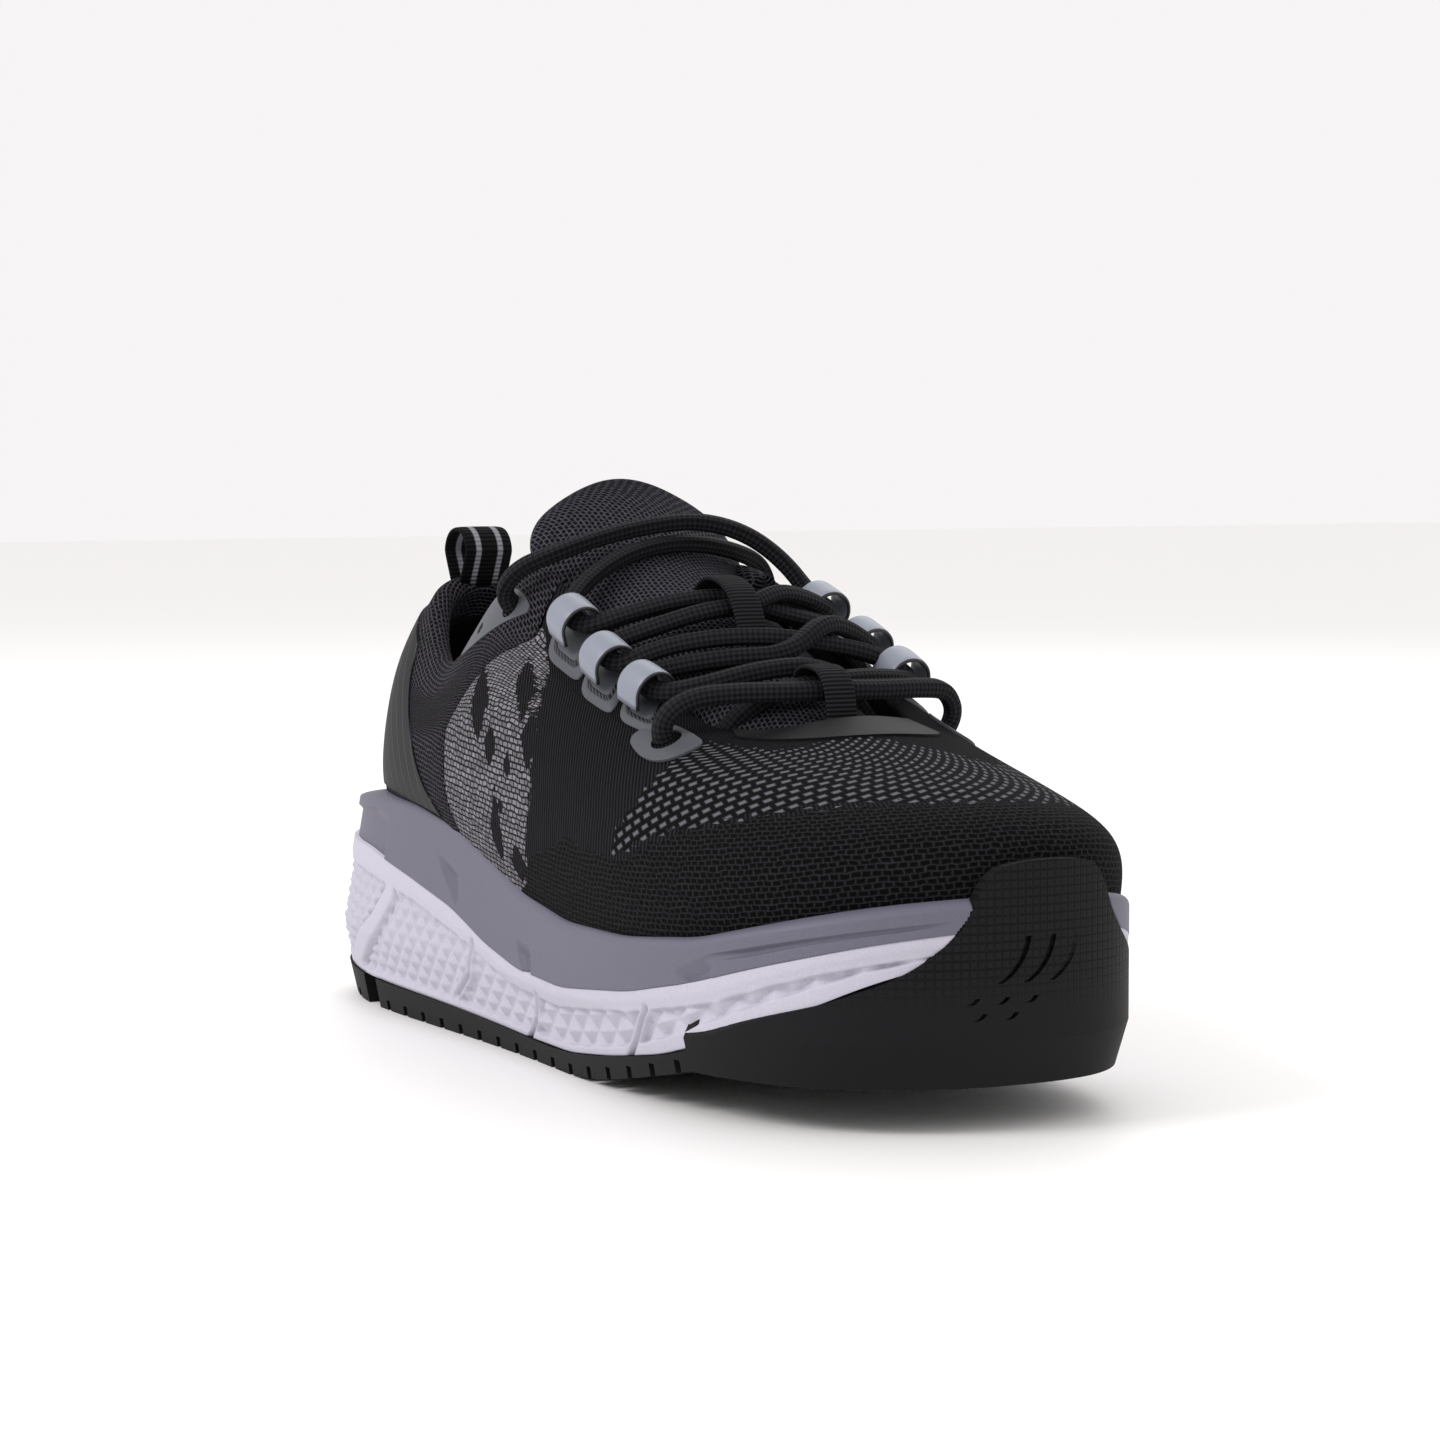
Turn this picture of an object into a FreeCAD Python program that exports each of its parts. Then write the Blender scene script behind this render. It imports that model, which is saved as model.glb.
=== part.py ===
"""Running shoe, right foot, as an assembly of separate cut, moulded and sewn pieces.

Frame: +X to the toe, +Z up, -Y is the outer (lateral) side of the foot. The origin is the
middle of the bounding box on the ground. Millimetres.
"""
import FreeCAD
import Part
import math
import os
from FreeCAD import Placement, Rotation, Vector

doc = FreeCAD.newDocument("running_shoe")

# ---------------------------------------------------------------- driving dimensions
DIMENSIONS = {
    "sole_length": 300.0,
    "sole_width": 109.0,
    "form_height": 60.0,
    "flare_height": 20.0,
    "core_inset": 14.0,
    "cavity_gap": 1.3,
    "bumper_wall": 3.0,
    "slot_depth": 1.2,
    "glue_line": 0.06,
    "heel_pad_front": -107.0,
    "forefoot_pad_back": -97.0,
    "groove_width": 2.4,
    "groove_pitch": 12.0,
    "groove_depth": 2.6,
    "decoupling_width": 8.0,
    "knit_wall": 1.5,
    "lining_wall": 0.7,
    "layer_gap": 0.1,
    "counter_wall": 1.3,
    "collar_padding": 6.0,
    "overlay_wall": 0.8,
    "board_wall": 1.4,
    "insole_wall": 4.4,
    "insole_cover_wall": 0.9,
    "tongue_padding": 4.6,
    "flap_padding": 2.4,
    "loop_width": 9.0,
    "loop_span": 11.6,
    "loop_height": 8.6,
    "loop_wall": 1.2,
    "lace_diameter": 4.8,
    "aglet_length": 22.0,
    "aglet_diameter": 3.6,
    "webbing_wall": 1.4,
    "pull_loop_width": 14.0,
    "pull_loop_height": 13.0,
    "keeper_width": 8.0,
    "eyelet_hole": 6.4,
    "low_eyelet_hole": 7.6,
    "spare_hole": 3.2,
}
sheet = doc.addObject("Spreadsheet::Sheet", "Dimensions")
for row, (alias, value) in enumerate(DIMENSIONS.items(), 1):
    sheet.set(f"A{row}", alias)
    sheet.set(f"B{row}", str(value))
    sheet.setAlias(f"B{row}", alias)
doc.recompute()


def size(alias):
    """Value of one cell of the sheet."""
    return float(sheet.get(alias))


# ---------------------------------------------------------------- named curves of the shoe
# Sole outline, heel round the outer side to the toe and back along the inner side:
# x, y, how far the rim stands in from the widest line, how far the ground edge does.
OUTLINE = [
    (-150, 0, 7, 5), (-146, -21, 7, 5), (-128, -37, 7, 5), (-95, -43, 6, 4), (-50, -44, 4, 3),
    (0, -47, 2, 3), (45, -54, 1, 3), (82, -57, 0, 4), (112, -55, 0, 5), (136, -45, 0, 6),
    (150, -23, 0, 6), (153, 5, 0, 6), (148, 30, 0, 6), (127, 48, 0, 6), (96, 57, 0, 5),
    (65, 55, 0, 4), (30, 46, 1, 3), (-10, 38, 3, 3), (-50, 37, 5, 3), (-95, 40, 6, 4),
    (-128, 36, 7, 5), (-146, 21, 7, 5),
]
# Side-view lines, x and z, heel to toe.
RIM_LINE = [(-155, 52), (-112, 55), (-75, 54.5), (-48, 52), (-23, 45.5), (1, 38.5), (30, 35),
            (66, 35.5), (98, 38.5), (128, 45), (155, 51)]
PARTING_LINE = [(-155, 44), (-106, 42), (-75, 37.5), (-44, 32), (-21, 25.5), (0, 21.8),
                (30, 21), (70, 25), (100, 30.5), (130, 38.5), (155, 46)]
RUBBER_LINE = [(-155, 13), (-130, 9.5), (-108, 8), (-60, 7), (0, 5.2), (30, 5.4), (56, 8.2),
               (82, 12), (110, 19), (132, 28), (155, 42)]
GROUND_LINE = [(-155, 10), (-142, 4.5), (-126, 1.1), (-106, 0), (-60, 0), (30, 0), (48, 1.6),
               (67, 4.6), (90, 9), (112, 14.6), (132, 21.5), (155, 32)]
FLOOR_LINE = [(-155, 33), (-100, 33), (-60, 32), (-20, 29), (15, 25), (50, 22.5), (85, 22.8),
              (115, 25.5), (155, 33)]
CORE_LINE = [(-155, 24), (-100, 24), (-60, 23), (-20, 20), (15, 16), (50, 13.5), (85, 14.8),
             (110, 20.5), (132, 29.5), (155, 43.5)]
# Front-view line of the toe bumper, y and z, outer side to inner side.
BUMPER_FRONT = [(-56, 11), (-54.4, 15), (-52.8, 19.5), (-50, 23.5), (-41.3, 28.5), (-34.5, 31.5),
                (-25.6, 36.1), (-18.8, 41.1), (-13.5, 47.4), (-11, 52.6), (-7.5, 57), (-1, 58.8),
                (14, 58.8), (20.5, 57), (24, 52.6), (26.5, 47.4), (32, 41.1), (39, 36.1),
                (46, 31), (51.5, 25.5), (54, 19.5), (54.8, 15), (56, 11)]

# Stations round the upper, heel - outer side - toe - inner side. Each row gives the feather
# line x, y; the bulge over the rim and its height; the shoulder x, y, z; the top line x, y, z.
UPPER = [
    (-136, 0, 2, 62, -132, 0, 92, -116, 0, 113),        # heel back
    (-128, -17, 2, 62, -124, -17, 92, -111, -14, 110),
    (-111, -28, 2, 62, -107, -28, 90, -98, -22, 102),
    (-88, -33, 3, 60, -85, -34, 82, -82, -29, 92),
    (-62, -36, 4, 58, -62, -39, 79, -63, -33, 89),      # outer ankle
    (-40, -39, 5, 56, -42, -42, 90, -48, -31, 103),
    (-14, -42, 5, 54, -21, -42, 99, -32, -28, 121),     # outer wing tip
    (14, -45, 5, 54, 5, -42, 90, 0, -27, 111),
    (42, -49, 5, 54, 28, -42, 84, 20, -26, 99),
    (72, -52, 5, 56, 52, -40, 80, 37, -25, 89),
    (102, -50, 4, 60, 80, -34, 79, 56, -23, 82),
    (128, -40, 3, 64, 100, -25, 78, 70, -17, 82),
    (143, -21, 2, 66, 115, -11, 76, 79, -8, 85),
    (148, 4, 1, 68, 118, 5, 75, 82, 2, 86),             # toe, and the throat's front
    (142, 28, 3, 66, 112, 19, 74, 81, 11, 85),
    (124, 45, 4, 60, 101, 30, 75, 76, 18, 84),
    (96, 51, 4, 58, 82, 38, 77, 66, 23, 84),
    (64, 49, 5, 56, 60, 42, 81, 50, 26, 90),
    (32, 42, 5, 54, 35, 42, 86, 34, 27, 99),
    (2, 36, 4, 54, 8, 40, 92, 12, 28, 110),
    (-24, 33, 3, 56, -18, 39, 99, -24, 29, 121),        # inner wing tip
    (-46, 33, 4, 58, -42, 40, 90, -48, 31, 104),
    (-66, 34, 4, 60, -63, 38, 79, -64, 33, 90),         # inner ankle
    (-90, 31, 3, 60, -87, 33, 82, -82, 29, 93),
    (-111, 27, 2, 62, -107, 27, 90, -98, 22, 102),
    (-128, 17, 2, 62, -124, 17, 92, -111, 14, 110),
]
STATIONS = len(UPPER)

# Tongue stations, front to top: x, y and z of the crown, half width, fall of the edges.
TONGUE = [
    (94, 0, 69, 9, 2), (78, 0, 76, 11, 3), (56, 0, 90, 13, 5), (29, 0, 103.5, 17, 7),
    (5, 0, 113.5, 20, 7), (-14, 1, 122, 24, 8), (-25, 2, 131, 31, 9), (-32, 2, 137.5, 27, 6),
    (-36, 2, 141, 10, 3),
]
TONGUE_FOLD = 0.70          # part of the tongue's length where its top flap starts


# ---------------------------------------------------------------- curve and surface helpers
def spline_weights(f):
    """Weights of the four poles of a uniform cubic B-spline at f within a span."""
    return ((1 - f) ** 3 / 6, (3 * f ** 3 - 6 * f * f + 4) / 6,
            (-3 * f ** 3 + 3 * f * f + 3 * f + 1) / 6, f ** 3 / 6)


def blend(points, weights):
    """Weighted sum of equally long tuples."""
    return tuple(sum(w * p[i] for w, p in zip(weights, points)) for i in range(len(points[0])))


def open_spline(rows, t):
    """Point of an open uniform cubic B-spline that starts and ends on its end rows."""
    first = blend(rows[:2], (2, -1))
    last = blend(rows[-2:], (-1, 2))
    padded = [first, *rows, last]
    span = min(int(t * (len(rows) - 1)), len(rows) - 2)
    return blend(padded[span:span + 4], spline_weights(t * (len(rows) - 1) - span))


def line_height(line, x):
    """Height of a side-view line at x, straight between its points."""
    for (x0, z0), (x1, z1) in zip(line, line[1:]):
        if x <= x1:
            return z0 + (z1 - z0) * (x - x0) / (x1 - x0)
    return line[-1][1]


def smooth_step(low, high, value):
    """0 below low, 1 above high and an S-curve between."""
    f = min(max((value - low) / (high - low), 0), 1)
    return f * f * (3 - 2 * f)


def inset_points(points, insets):
    """Closed outline moved in along its own normals, by one inset for each point."""
    moved = []
    count = len(points)
    for i, (x, y) in enumerate(points):
        (xa, ya), (xb, yb) = points[i - 1], points[(i + 1) % count]
        run = Vector(xb - xa, yb - ya, 0).normalize()
        moved.append((x - run.y * insets[i], y + run.x * insets[i]))
    return moved


def closed_edge(points, z):
    """Closed uniform cubic B-spline with these poles at height z."""
    curve = Part.BSplineCurve()
    curve.buildFromPoles([Vector(x, y, z) for x, y in points], True, 3)
    return Part.Wire(curve.toShape())


def station_net():
    """Rows of the upper's control net: feather line, rim, bulge, shoulder and top line."""
    feather = [(s[0], s[1]) for s in UPPER]
    bulge = inset_points(feather, [-s[2] for s in UPPER])
    net = []
    for station, (bx, by) in zip(UPPER, bulge):
        x, y = station[:2]
        net.append([(x, y, line_height(FLOOR_LINE, x)), (x, y, line_height(RIM_LINE, x)),
                    (bx, by, station[3]), station[4:7], station[7:10]])
    return net


NET = station_net()


def upper_point(u, v):
    """Outer surface of the upper: u counts stations from the heel, v is 0 to 1 going up."""
    span = math.floor(u)
    weights = spline_weights(u - span)
    rows = [blend([NET[(span + k - 1) % STATIONS][row] for k in range(4)], weights)
            for row in range(5)]
    return Vector(*open_spline(rows, min(max(v, 0), 1)))


def surface_normal(point, u, v, step=0.01):
    """Outward unit normal of a surface function at u, v."""
    low, high = max(v - step, 0), min(v + step, 1)
    along = point(u + step, v) - point(u - step, v)
    across = point(u, high) - point(u, low)
    return along.cross(across).normalize()


def upper_depth(u, v, depth):
    """Point a given depth inside the upper's outer surface."""
    return upper_point(u, v) - surface_normal(upper_point, u, v) * depth


def tongue_point(side, along):
    """Top surface of the tongue: side is -1 outer to 1 inner, along is 0 front to 1 top."""
    x, y, z, half_width, fall = open_spline(TONGUE, along)
    return Vector(x, y + half_width * side, z - fall * side * side)


def tongue_depth(side, along, depth):
    """Point a given depth below the tongue's top surface."""
    normal = surface_normal(tongue_point, side, along)
    return tongue_point(side, along) + normal * (-depth if normal.z + normal.x > 0 else depth)


def skin_face(place, rows, columns):
    """Smooth face through a grid of points place(s, t), with s and t from 0 to 1."""
    grid = [[place(i / rows, j / columns) for j in range(columns + 1)] for i in range(rows + 1)]
    surface = Part.BSplineSurface()
    surface.interpolate(grid)
    return surface


AS_DRAWN = 1                # makeRuledSurface keeps both edges' directions


def skin_solid(outer, inner, rows, columns):
    """Closed solid between two skins, with ruled edges."""
    top = skin_face(outer, rows, columns)
    bottom = skin_face(inner, rows, columns)
    faces = [top.toShape(), bottom.toShape()]
    for iso in ("uIso", "vIso"):
        for end in (0, 1):
            edges = [getattr(s, iso)(end).toShape() for s in (top, bottom)]
            faces.append(Part.makeRuledSurface(*edges, AS_DRAWN))
    shell = Part.makeShell(faces)
    shell.sewShape()
    solid = Part.makeSolid(shell)
    if solid.Volume < 0:
        solid.reverse()
    return solid


def upper_panel(u_of, v_of, outer, inner, rows=28, columns=10):
    """Solid layer of the upper. u_of and v_of map s, t to the surface; outer and inner give
    the depths of its faces as functions of v."""
    def face(depth):
        def place(s, t):
            v = v_of(s, t)
            return upper_depth(u_of(s, v), v, depth(v))
        return place
    return skin_solid(face(outer), face(inner), rows, columns)


def constant(value):
    """Function that always gives value."""
    return lambda v: value


# ---------------------------------------------------------------- document helpers
sub_parts = []


def keep(obj, label):
    """Name a finished sub-part and put it at the frame's origin."""
    obj.Label = label
    obj.Placement = Placement()
    sub_parts.append(obj)
    return obj


def feature(name, shape):
    """Document object that holds a shape worked out above."""
    obj = doc.addObject("Part::Feature", name)
    obj.Shape = shape
    return obj


def common(name, *shapes):
    """Boolean intersection of document objects."""
    obj = doc.addObject("Part::MultiCommon", name)
    obj.Shapes = list(shapes)
    return obj


def fuse(name, *shapes):
    """Boolean union of document objects."""
    obj = doc.addObject("Part::MultiFuse", name)
    obj.Shapes = list(shapes)
    return obj


def cut(name, base, tool):
    """Boolean difference of two document objects."""
    obj = doc.addObject("Part::Cut", name)
    obj.Base = base
    obj.Tool = tool
    return obj


def outline_insets(column, extra=0.0):
    """Insets of the sole outline from one of its columns, plus a constant."""
    return [station[column] + extra for station in OUTLINE]


def sole_section(insets, z):
    """Wire of the sole outline at height z, scaled to the sheet's length and width."""
    poles = [(x, y) for x, y, _, _ in OUTLINE]
    box = closed_edge(poles, 0).optimalBoundingBox(False)
    scale_x = size("sole_length") / box.XLength
    scale_y = size("sole_width") / box.YLength
    middle = box.Center
    scaled = [((x - middle.x) * scale_x, (y - middle.y) * scale_y) for x, y in poles]
    return closed_edge(inset_points(scaled, insets), z)


def sole_form(name, extra=0.0):
    """Lofted block of the whole sole: narrow at the ground, widest at the flare, in at the rim."""
    levels = [(3, 0.0), (2, size("form_height"))]
    flare = feature(f"{name}_flare", sole_section([extra] * len(OUTLINE), 0))
    flare.setExpression("Placement.Base.z", "Dimensions.flare_height")
    ends = [feature(f"{name}_{z:.0f}", sole_section(outline_insets(column, extra), z))
            for column, z in levels]
    loft = doc.addObject("Part::Loft", name)
    loft.Sections = [ends[0], flare, ends[1]]
    loft.Solid = True
    loft.Ruled = True
    return loft


def side_band(name, low_line, high_line):
    """Slab across the shoe between two side-view lines."""
    edges = []
    for line in (low_line, high_line):
        curve = Part.BSplineCurve()
        curve.interpolate([Vector(x, 0, z) for x, z in line])
        edges.append(curve.toShape())
    for end in (0, -1):
        ends = [Vector(line[end][0], 0, line[end][1]) for line in (low_line, high_line)]
        edges.append(Part.makeLine(*ends))
    profile = feature(f"{name}_profile", Part.Wire(Part.__sortEdges__(edges)))
    slab = doc.addObject("Part::Extrusion", name)
    slab.Base = profile
    slab.DirMode = "Custom"
    slab.Dir = Vector(0, 1, 0)
    slab.Symmetric = True
    slab.Solid = True
    slab.setExpression("LengthFwd", "Dimensions.sole_width * 1.3")
    return slab


def raised(line, height):
    """Side-view line moved up by height."""
    return [(x, z + height) for x, z in line]


def inner_plate(name, inset, low, high):
    """Plate inside the upper, from the foot bed's height plus low to plus high."""
    feather = [(s[0], s[1]) for s in UPPER]
    wire = closed_edge(inset_points(feather, [inset] * STATIONS), 0)
    column = feature(f"{name}_column", Part.Face(wire).extrude(Vector(0, 0, size("form_height"))))
    band = side_band(f"{name}_band", raised(FLOOR_LINE, low), raised(FLOOR_LINE, high))
    return common(name, column, band)


# ---------------------------------------------------------------- sole
form = sole_form("sole_form")
inner_form = sole_form("sole_inner_form", size("bumper_wall"))

BUMPER_BACK, BUMPER_FOOT, PAST_TOE = 95.0, 10.0, 160.0


def front_prism(edges, back):
    """Solid that runs forward from x = back, past the toe, with this front-view outline."""
    face = Part.Face(Part.Wire(Part.__sortEdges__(edges)))
    prism = face.extrude(Vector(PAST_TOE - back, 0, 0))
    prism.translate(Vector(back, 0, 0))
    return prism


def bumper_outline():
    """Front-view edges of the bumper: a spline over the top, straight at the foot."""
    curve = Part.BSplineCurve()
    curve.interpolate([Vector(0, y, z) for y, z in BUMPER_FRONT])
    (y_first, z_first), (y_last, z_last) = BUMPER_FRONT[0], BUMPER_FRONT[-1]
    corners = [Vector(0, y_last, z_last), Vector(0, y_last, BUMPER_FOOT),
               Vector(0, y_first, BUMPER_FOOT), Vector(0, y_first, z_first)]
    return [curve.toShape()] + [Part.makeLine(a, b) for a, b in zip(corners, corners[1:])]


bumper_block = feature("bumper_block", front_prism(bumper_outline(), BUMPER_BACK))
bumper = cut("toe_bumper", common("toe_block", form, bumper_block), inner_form)

feather_points = [(s[0], s[1]) for s in UPPER]
cavity_wire = closed_edge(inset_points(feather_points, [-size("cavity_gap")] * STATIONS), 0)
cavity_column = feature("cavity_column",
                        Part.Face(cavity_wire).extrude(Vector(0, 0, 2 * size("form_height"))))
FLOOR_CLEARANCE = 0.9
above_floor = side_band("above_floor", raised(FLOOR_LINE, -FLOOR_CLEARANCE),
                        raised(FLOOR_LINE, size("form_height")))
cavity = common("foot_cavity", cavity_column, above_floor)

CORE_CROWN = 14.0


def foam_core(name, slack):
    """Block of foam under the foot inside the sole's walls, larger all round by slack."""
    wire = sole_section([size("core_inset") - slack] * len(OUTLINE), 0)
    column = feature(f"{name}_column", Part.Face(wire).extrude(Vector(0, 0, size("form_height"))))
    slab = side_band(f"{name}_band", raised(CORE_LINE, -slack), raised(FLOOR_LINE, CORE_CROWN))
    return common(name, column, slab)


core = foam_core("cradle_core", 0)
core_room = foam_core("core_room", size("glue_line"))


def clear_of_bumper(name, shape):
    """Sole piece with the toe bumper's room taken out."""
    return cut(name, shape, bumper)


grey_band = side_band("cradle_band", raised(PARTING_LINE, size("glue_line")), RIM_LINE)
cradle_wall = clear_of_bumper("cradle_wall", common("cradle_outside", form, grey_band))
cradle = fuse("cradle_block", cradle_wall, core)
keep(cut("midsole_cradle", cradle, cavity), "midsole_cradle")

white_band = side_band("cushion_band", raised(RUBBER_LINE, size("glue_line")), PARTING_LINE)
cushion = clear_of_bumper("cushion_block", common("cushion_outside", form, white_band))
keep(cut("midsole_cushion", cushion, fuse("cushion_room", core_room, cavity)), "midsole_cushion")

rubber_band = side_band("rubber_band", GROUND_LINE, RUBBER_LINE)
rubber = common("rubber_layer", form, rubber_band)


def box_at(x_low, x_high, y_low, y_high, z_low, z_high):
    """Axis-aligned box shape."""
    return Part.makeBox(x_high - x_low, y_high - y_low, z_high - z_low,
                        Vector(x_low, y_low, z_low))


def tread_grooves():
    """Cross grooves at both edges of the tread, and the long groove down its middle."""
    width, depth = size("groove_width"), size("groove_depth")
    grooves = []
    x = size("forefoot_pad_back") + size("groove_pitch") / 2
    while x < 128:
        level = line_height(GROUND_LINE, x + width)
        for y_low, y_high in ((-70, -24), (24, 70)):
            grooves.append(box_at(x, x + width, y_low, y_high, -5, level + depth))
        x += size("groove_pitch")
    half = size("decoupling_width") / 2
    grooves.append(box_at(-80, 84, -half, half, -5, 30))
    return Part.makeCompound(grooves)


def curved_slot(y_foot, y_top, z_foot, z_top, width, back):
    """Slot cut from the front, bowed to the inner side between its foot and its top."""
    bow = Vector(0, 0.18 * (y_top - y_foot), -0.08 * (z_top - z_foot))
    edges, ends = [], []
    for shift in (-width / 2, width / 2):
        foot, top = Vector(0, y_foot + shift, z_foot), Vector(0, y_top + shift, z_top)
        edges.append(Part.Arc(foot, (foot + top) * 0.5 + bow, top).toShape())
        ends.append((foot, top))
    edges += [Part.makeLine(ends[0][k], ends[1][k]) for k in (0, 1)]
    return front_prism(edges, back)


def bumper_slots():
    """Three long curved slots in the bumper's face over two rows of short ones."""
    face = size("sole_length") / 2 - size("slot_depth")
    slots = [curved_slot(y, y + 7.2, 32.8, 42.8, 1.5, face) for y in (-6.2, 0.5, 7.2)]
    for z, starts in ((28.3, (-13.8, -6.6, 0.7)), (24.9, (-20.1, -12.1, -4.4))):
        slots += [curved_slot(y, y + 2.4, z, z + 1.5, 1.3, face - 0.7) for y in starts]
    return Part.makeCompound(slots)


BEHIND, AHEAD = -200, 200
front_block = feature("front_block", box_at(size("forefoot_pad_back"), AHEAD, -90, 90, -5, 90))
rear_block = feature("rear_block", box_at(BEHIND, size("heel_pad_front"), -90, 90, -5, 90))
front_rubber = common("front_rubber", rubber, front_block)
tread = feature("tread_grooves", tread_grooves())
grooved = cut("grooved_rubber", front_rubber, tread)
slotted = cut("slotted_rubber", fuse("outsole_block", grooved, bumper),
              feature("bumper_slots", bumper_slots()))
keep(cut("outsole", slotted, cavity), "outsole")
heel_grooves = feature("heel_grooves", Part.makeCompound(
    [box_at(x, x + size("groove_width"), -70, 70, -5, line_height(GROUND_LINE, x) + 2)
     for x in (-118.0, -130.0)]))
keep(cut("heel_pad", common("heel_rubber", rubber, rear_block), heel_grooves), "heel_pad")

# ---------------------------------------------------------------- foot bed
LINING_FOOT = 4.6           # inset of the foot bed from the upper's outer surface
BOARD_LOW = -0.6
board_top = BOARD_LOW + size("board_wall")
insole_top = board_top + size("layer_gap") + size("insole_wall")
keep(inner_plate("lasting_board", LINING_FOOT, BOARD_LOW, board_top), "lasting_board")
keep(inner_plate("insole_foam", LINING_FOOT, board_top + size("layer_gap"), insole_top),
     "insole_foam")
keep(inner_plate("insole_cover", LINING_FOOT, insole_top + size("layer_gap"),
                 insole_top + size("layer_gap") + size("insole_cover_wall")), "insole_cover")

# ---------------------------------------------------------------- upper
KNIT_IN = size("knit_wall")
GAP = size("layer_gap")


def seam_station(v):
    """Station of the seam between the collar piece and the knit, at height v."""
    return 4.65 + 1.95 * smooth_step(0.66, 0.86, v) + 0.5 * (1 - smooth_step(0.05, 0.6, v))


def front_u(s, v, back_off=0.02):
    """Across the front of the upper from the outer seam, round the toe, to the inner seam."""
    start = seam_station(v) + back_off
    return start + s * (STATIONS - 2 * start)


def rear_u(s, v, back_off=0.02):
    """Across the rear of the upper from the inner seam, round the heel, to the outer seam."""
    end = seam_station(v) - back_off
    return -end + s * 2 * end


def whole_height(s, t):
    """From the feather line to the top line."""
    return t


def height_range(low, high):
    """Map t to the heights from low to high."""
    return lambda s, t: low + (high - low) * t


def round_hole(u, v, diameter):
    """Cylinder square to the upper at u, v."""
    normal = surface_normal(upper_point, u, v)
    reach = 13.0
    return Part.makeCylinder(diameter / 2, 2 * reach, upper_point(u, v) - normal * reach, normal)


def mirrored(u, inner_side):
    """Station on the outer side, or its opposite on the inner side."""
    return STATIONS - u if inner_side else u


TOP_EYELET = (6.0, 0.90)
SPARE_EYELET = (5.3, 0.90)
LOW_EYELET = (9.25, 0.80)
top_holes, low_holes = ([round_hole(mirrored(seat[0], inner), seat[1], size(alias))
                         for inner in (False, True)]
                        for seat, alias in ((TOP_EYELET, "eyelet_hole"),
                                            (LOW_EYELET, "low_eyelet_hole")))

knit_shape = upper_panel(front_u, whole_height, constant(0), constant(KNIT_IN), 44, 18)
keep(feature("vamp_knit", knit_shape.cut(low_holes)), "vamp_knit")
PUFF_IN = KNIT_IN + GAP + 0.8
keep(feature("toe_puff", upper_panel(
    lambda s, v: 10.4 + s * 5.2, height_range(0.14, 0.5), constant(KNIT_IN + GAP),
    constant(PUFF_IN), 16, 6)), "toe_puff")
LINING_OUT = PUFF_IN + GAP
keep(feature("vamp_lining", upper_panel(
    lambda s, v: front_u(s, v, 0.1), height_range(0.03, 0.99), constant(LINING_OUT),
    constant(LINING_OUT + size("lining_wall")), 44, 18).cut(low_holes)), "vamp_lining")
keep(feature("collar_mesh", upper_panel(rear_u, whole_height, constant(0), constant(KNIT_IN),
                                        40, 18).cut(top_holes)), "collar_mesh")
COUNTER_IN = KNIT_IN + GAP + size("counter_wall")
keep(feature("heel_counter", upper_panel(
    lambda s, v: -4.3 + 8.6 * s, height_range(0.12, 0.52), constant(KNIT_IN + GAP),
    constant(COUNTER_IN), 36, 10)), "heel_counter")


def collar_inside(v):
    """Depth of the collar padding's inner face: full at mid height, thinner at both ends."""
    swell = smooth_step(0.56, 0.72, v) * (1 - 0.35 * smooth_step(0.88, 1.0, v))
    return COUNTER_IN + GAP + (size("collar_padding") - 2) * swell


keep(feature("collar_foam", upper_panel(
    lambda s, v: rear_u(s, v, 0.25), height_range(0.58, 0.97), constant(KNIT_IN + GAP),
    collar_inside, 36, 8).cut(top_holes)), "collar_foam")
keep(feature("heel_lining", upper_panel(
    lambda s, v: rear_u(s, v, 0.1), height_range(0.03, 0.985), lambda v: collar_inside(v) + GAP,
    lambda v: collar_inside(v) + GAP + size("lining_wall"), 40, 18).cut(top_holes)),
    "heel_lining")


def heel_overlay_edge(v):
    """Station of the heel clip's front edge at height v."""
    return 5.2 - 3.6 * (v - 0.15)


OVERLAY_GAP = -0.1
keep(feature("heel_clip", upper_panel(
    lambda s, v: heel_overlay_edge(v) * (2 * s - 1), height_range(0.37, 0.93),
    constant(OVERLAY_GAP - size("overlay_wall")), constant(OVERLAY_GAP), 28, 8)), "heel_clip")
keep(feature("throat_film", upper_panel(
    lambda s, v: 10.3 + s * 4.6, height_range(0.92, 1.0), constant(OVERLAY_GAP - 0.5),
    constant(OVERLAY_GAP), 20, 4)), "throat_film")


def leaf_panel(u_tip, u_end, v_middle, half_height, inner_side):
    """Thin leaf-shaped patch on the upper, blunt at both ends."""
    def place(depth):
        def point(s, t):
            along = u_tip + (u_end - u_tip) * s
            bow = half_height * (0.12 + 0.88 * math.sin(math.pi * s) ** 0.8)
            return upper_depth(mirrored(along, inner_side),
                               min(v_middle(s) + bow * (2 * t - 1), 0.995), depth)
        return point
    return skin_solid(place(OVERLAY_GAP - 0.6), place(OVERLAY_GAP), 18, 4)


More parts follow.
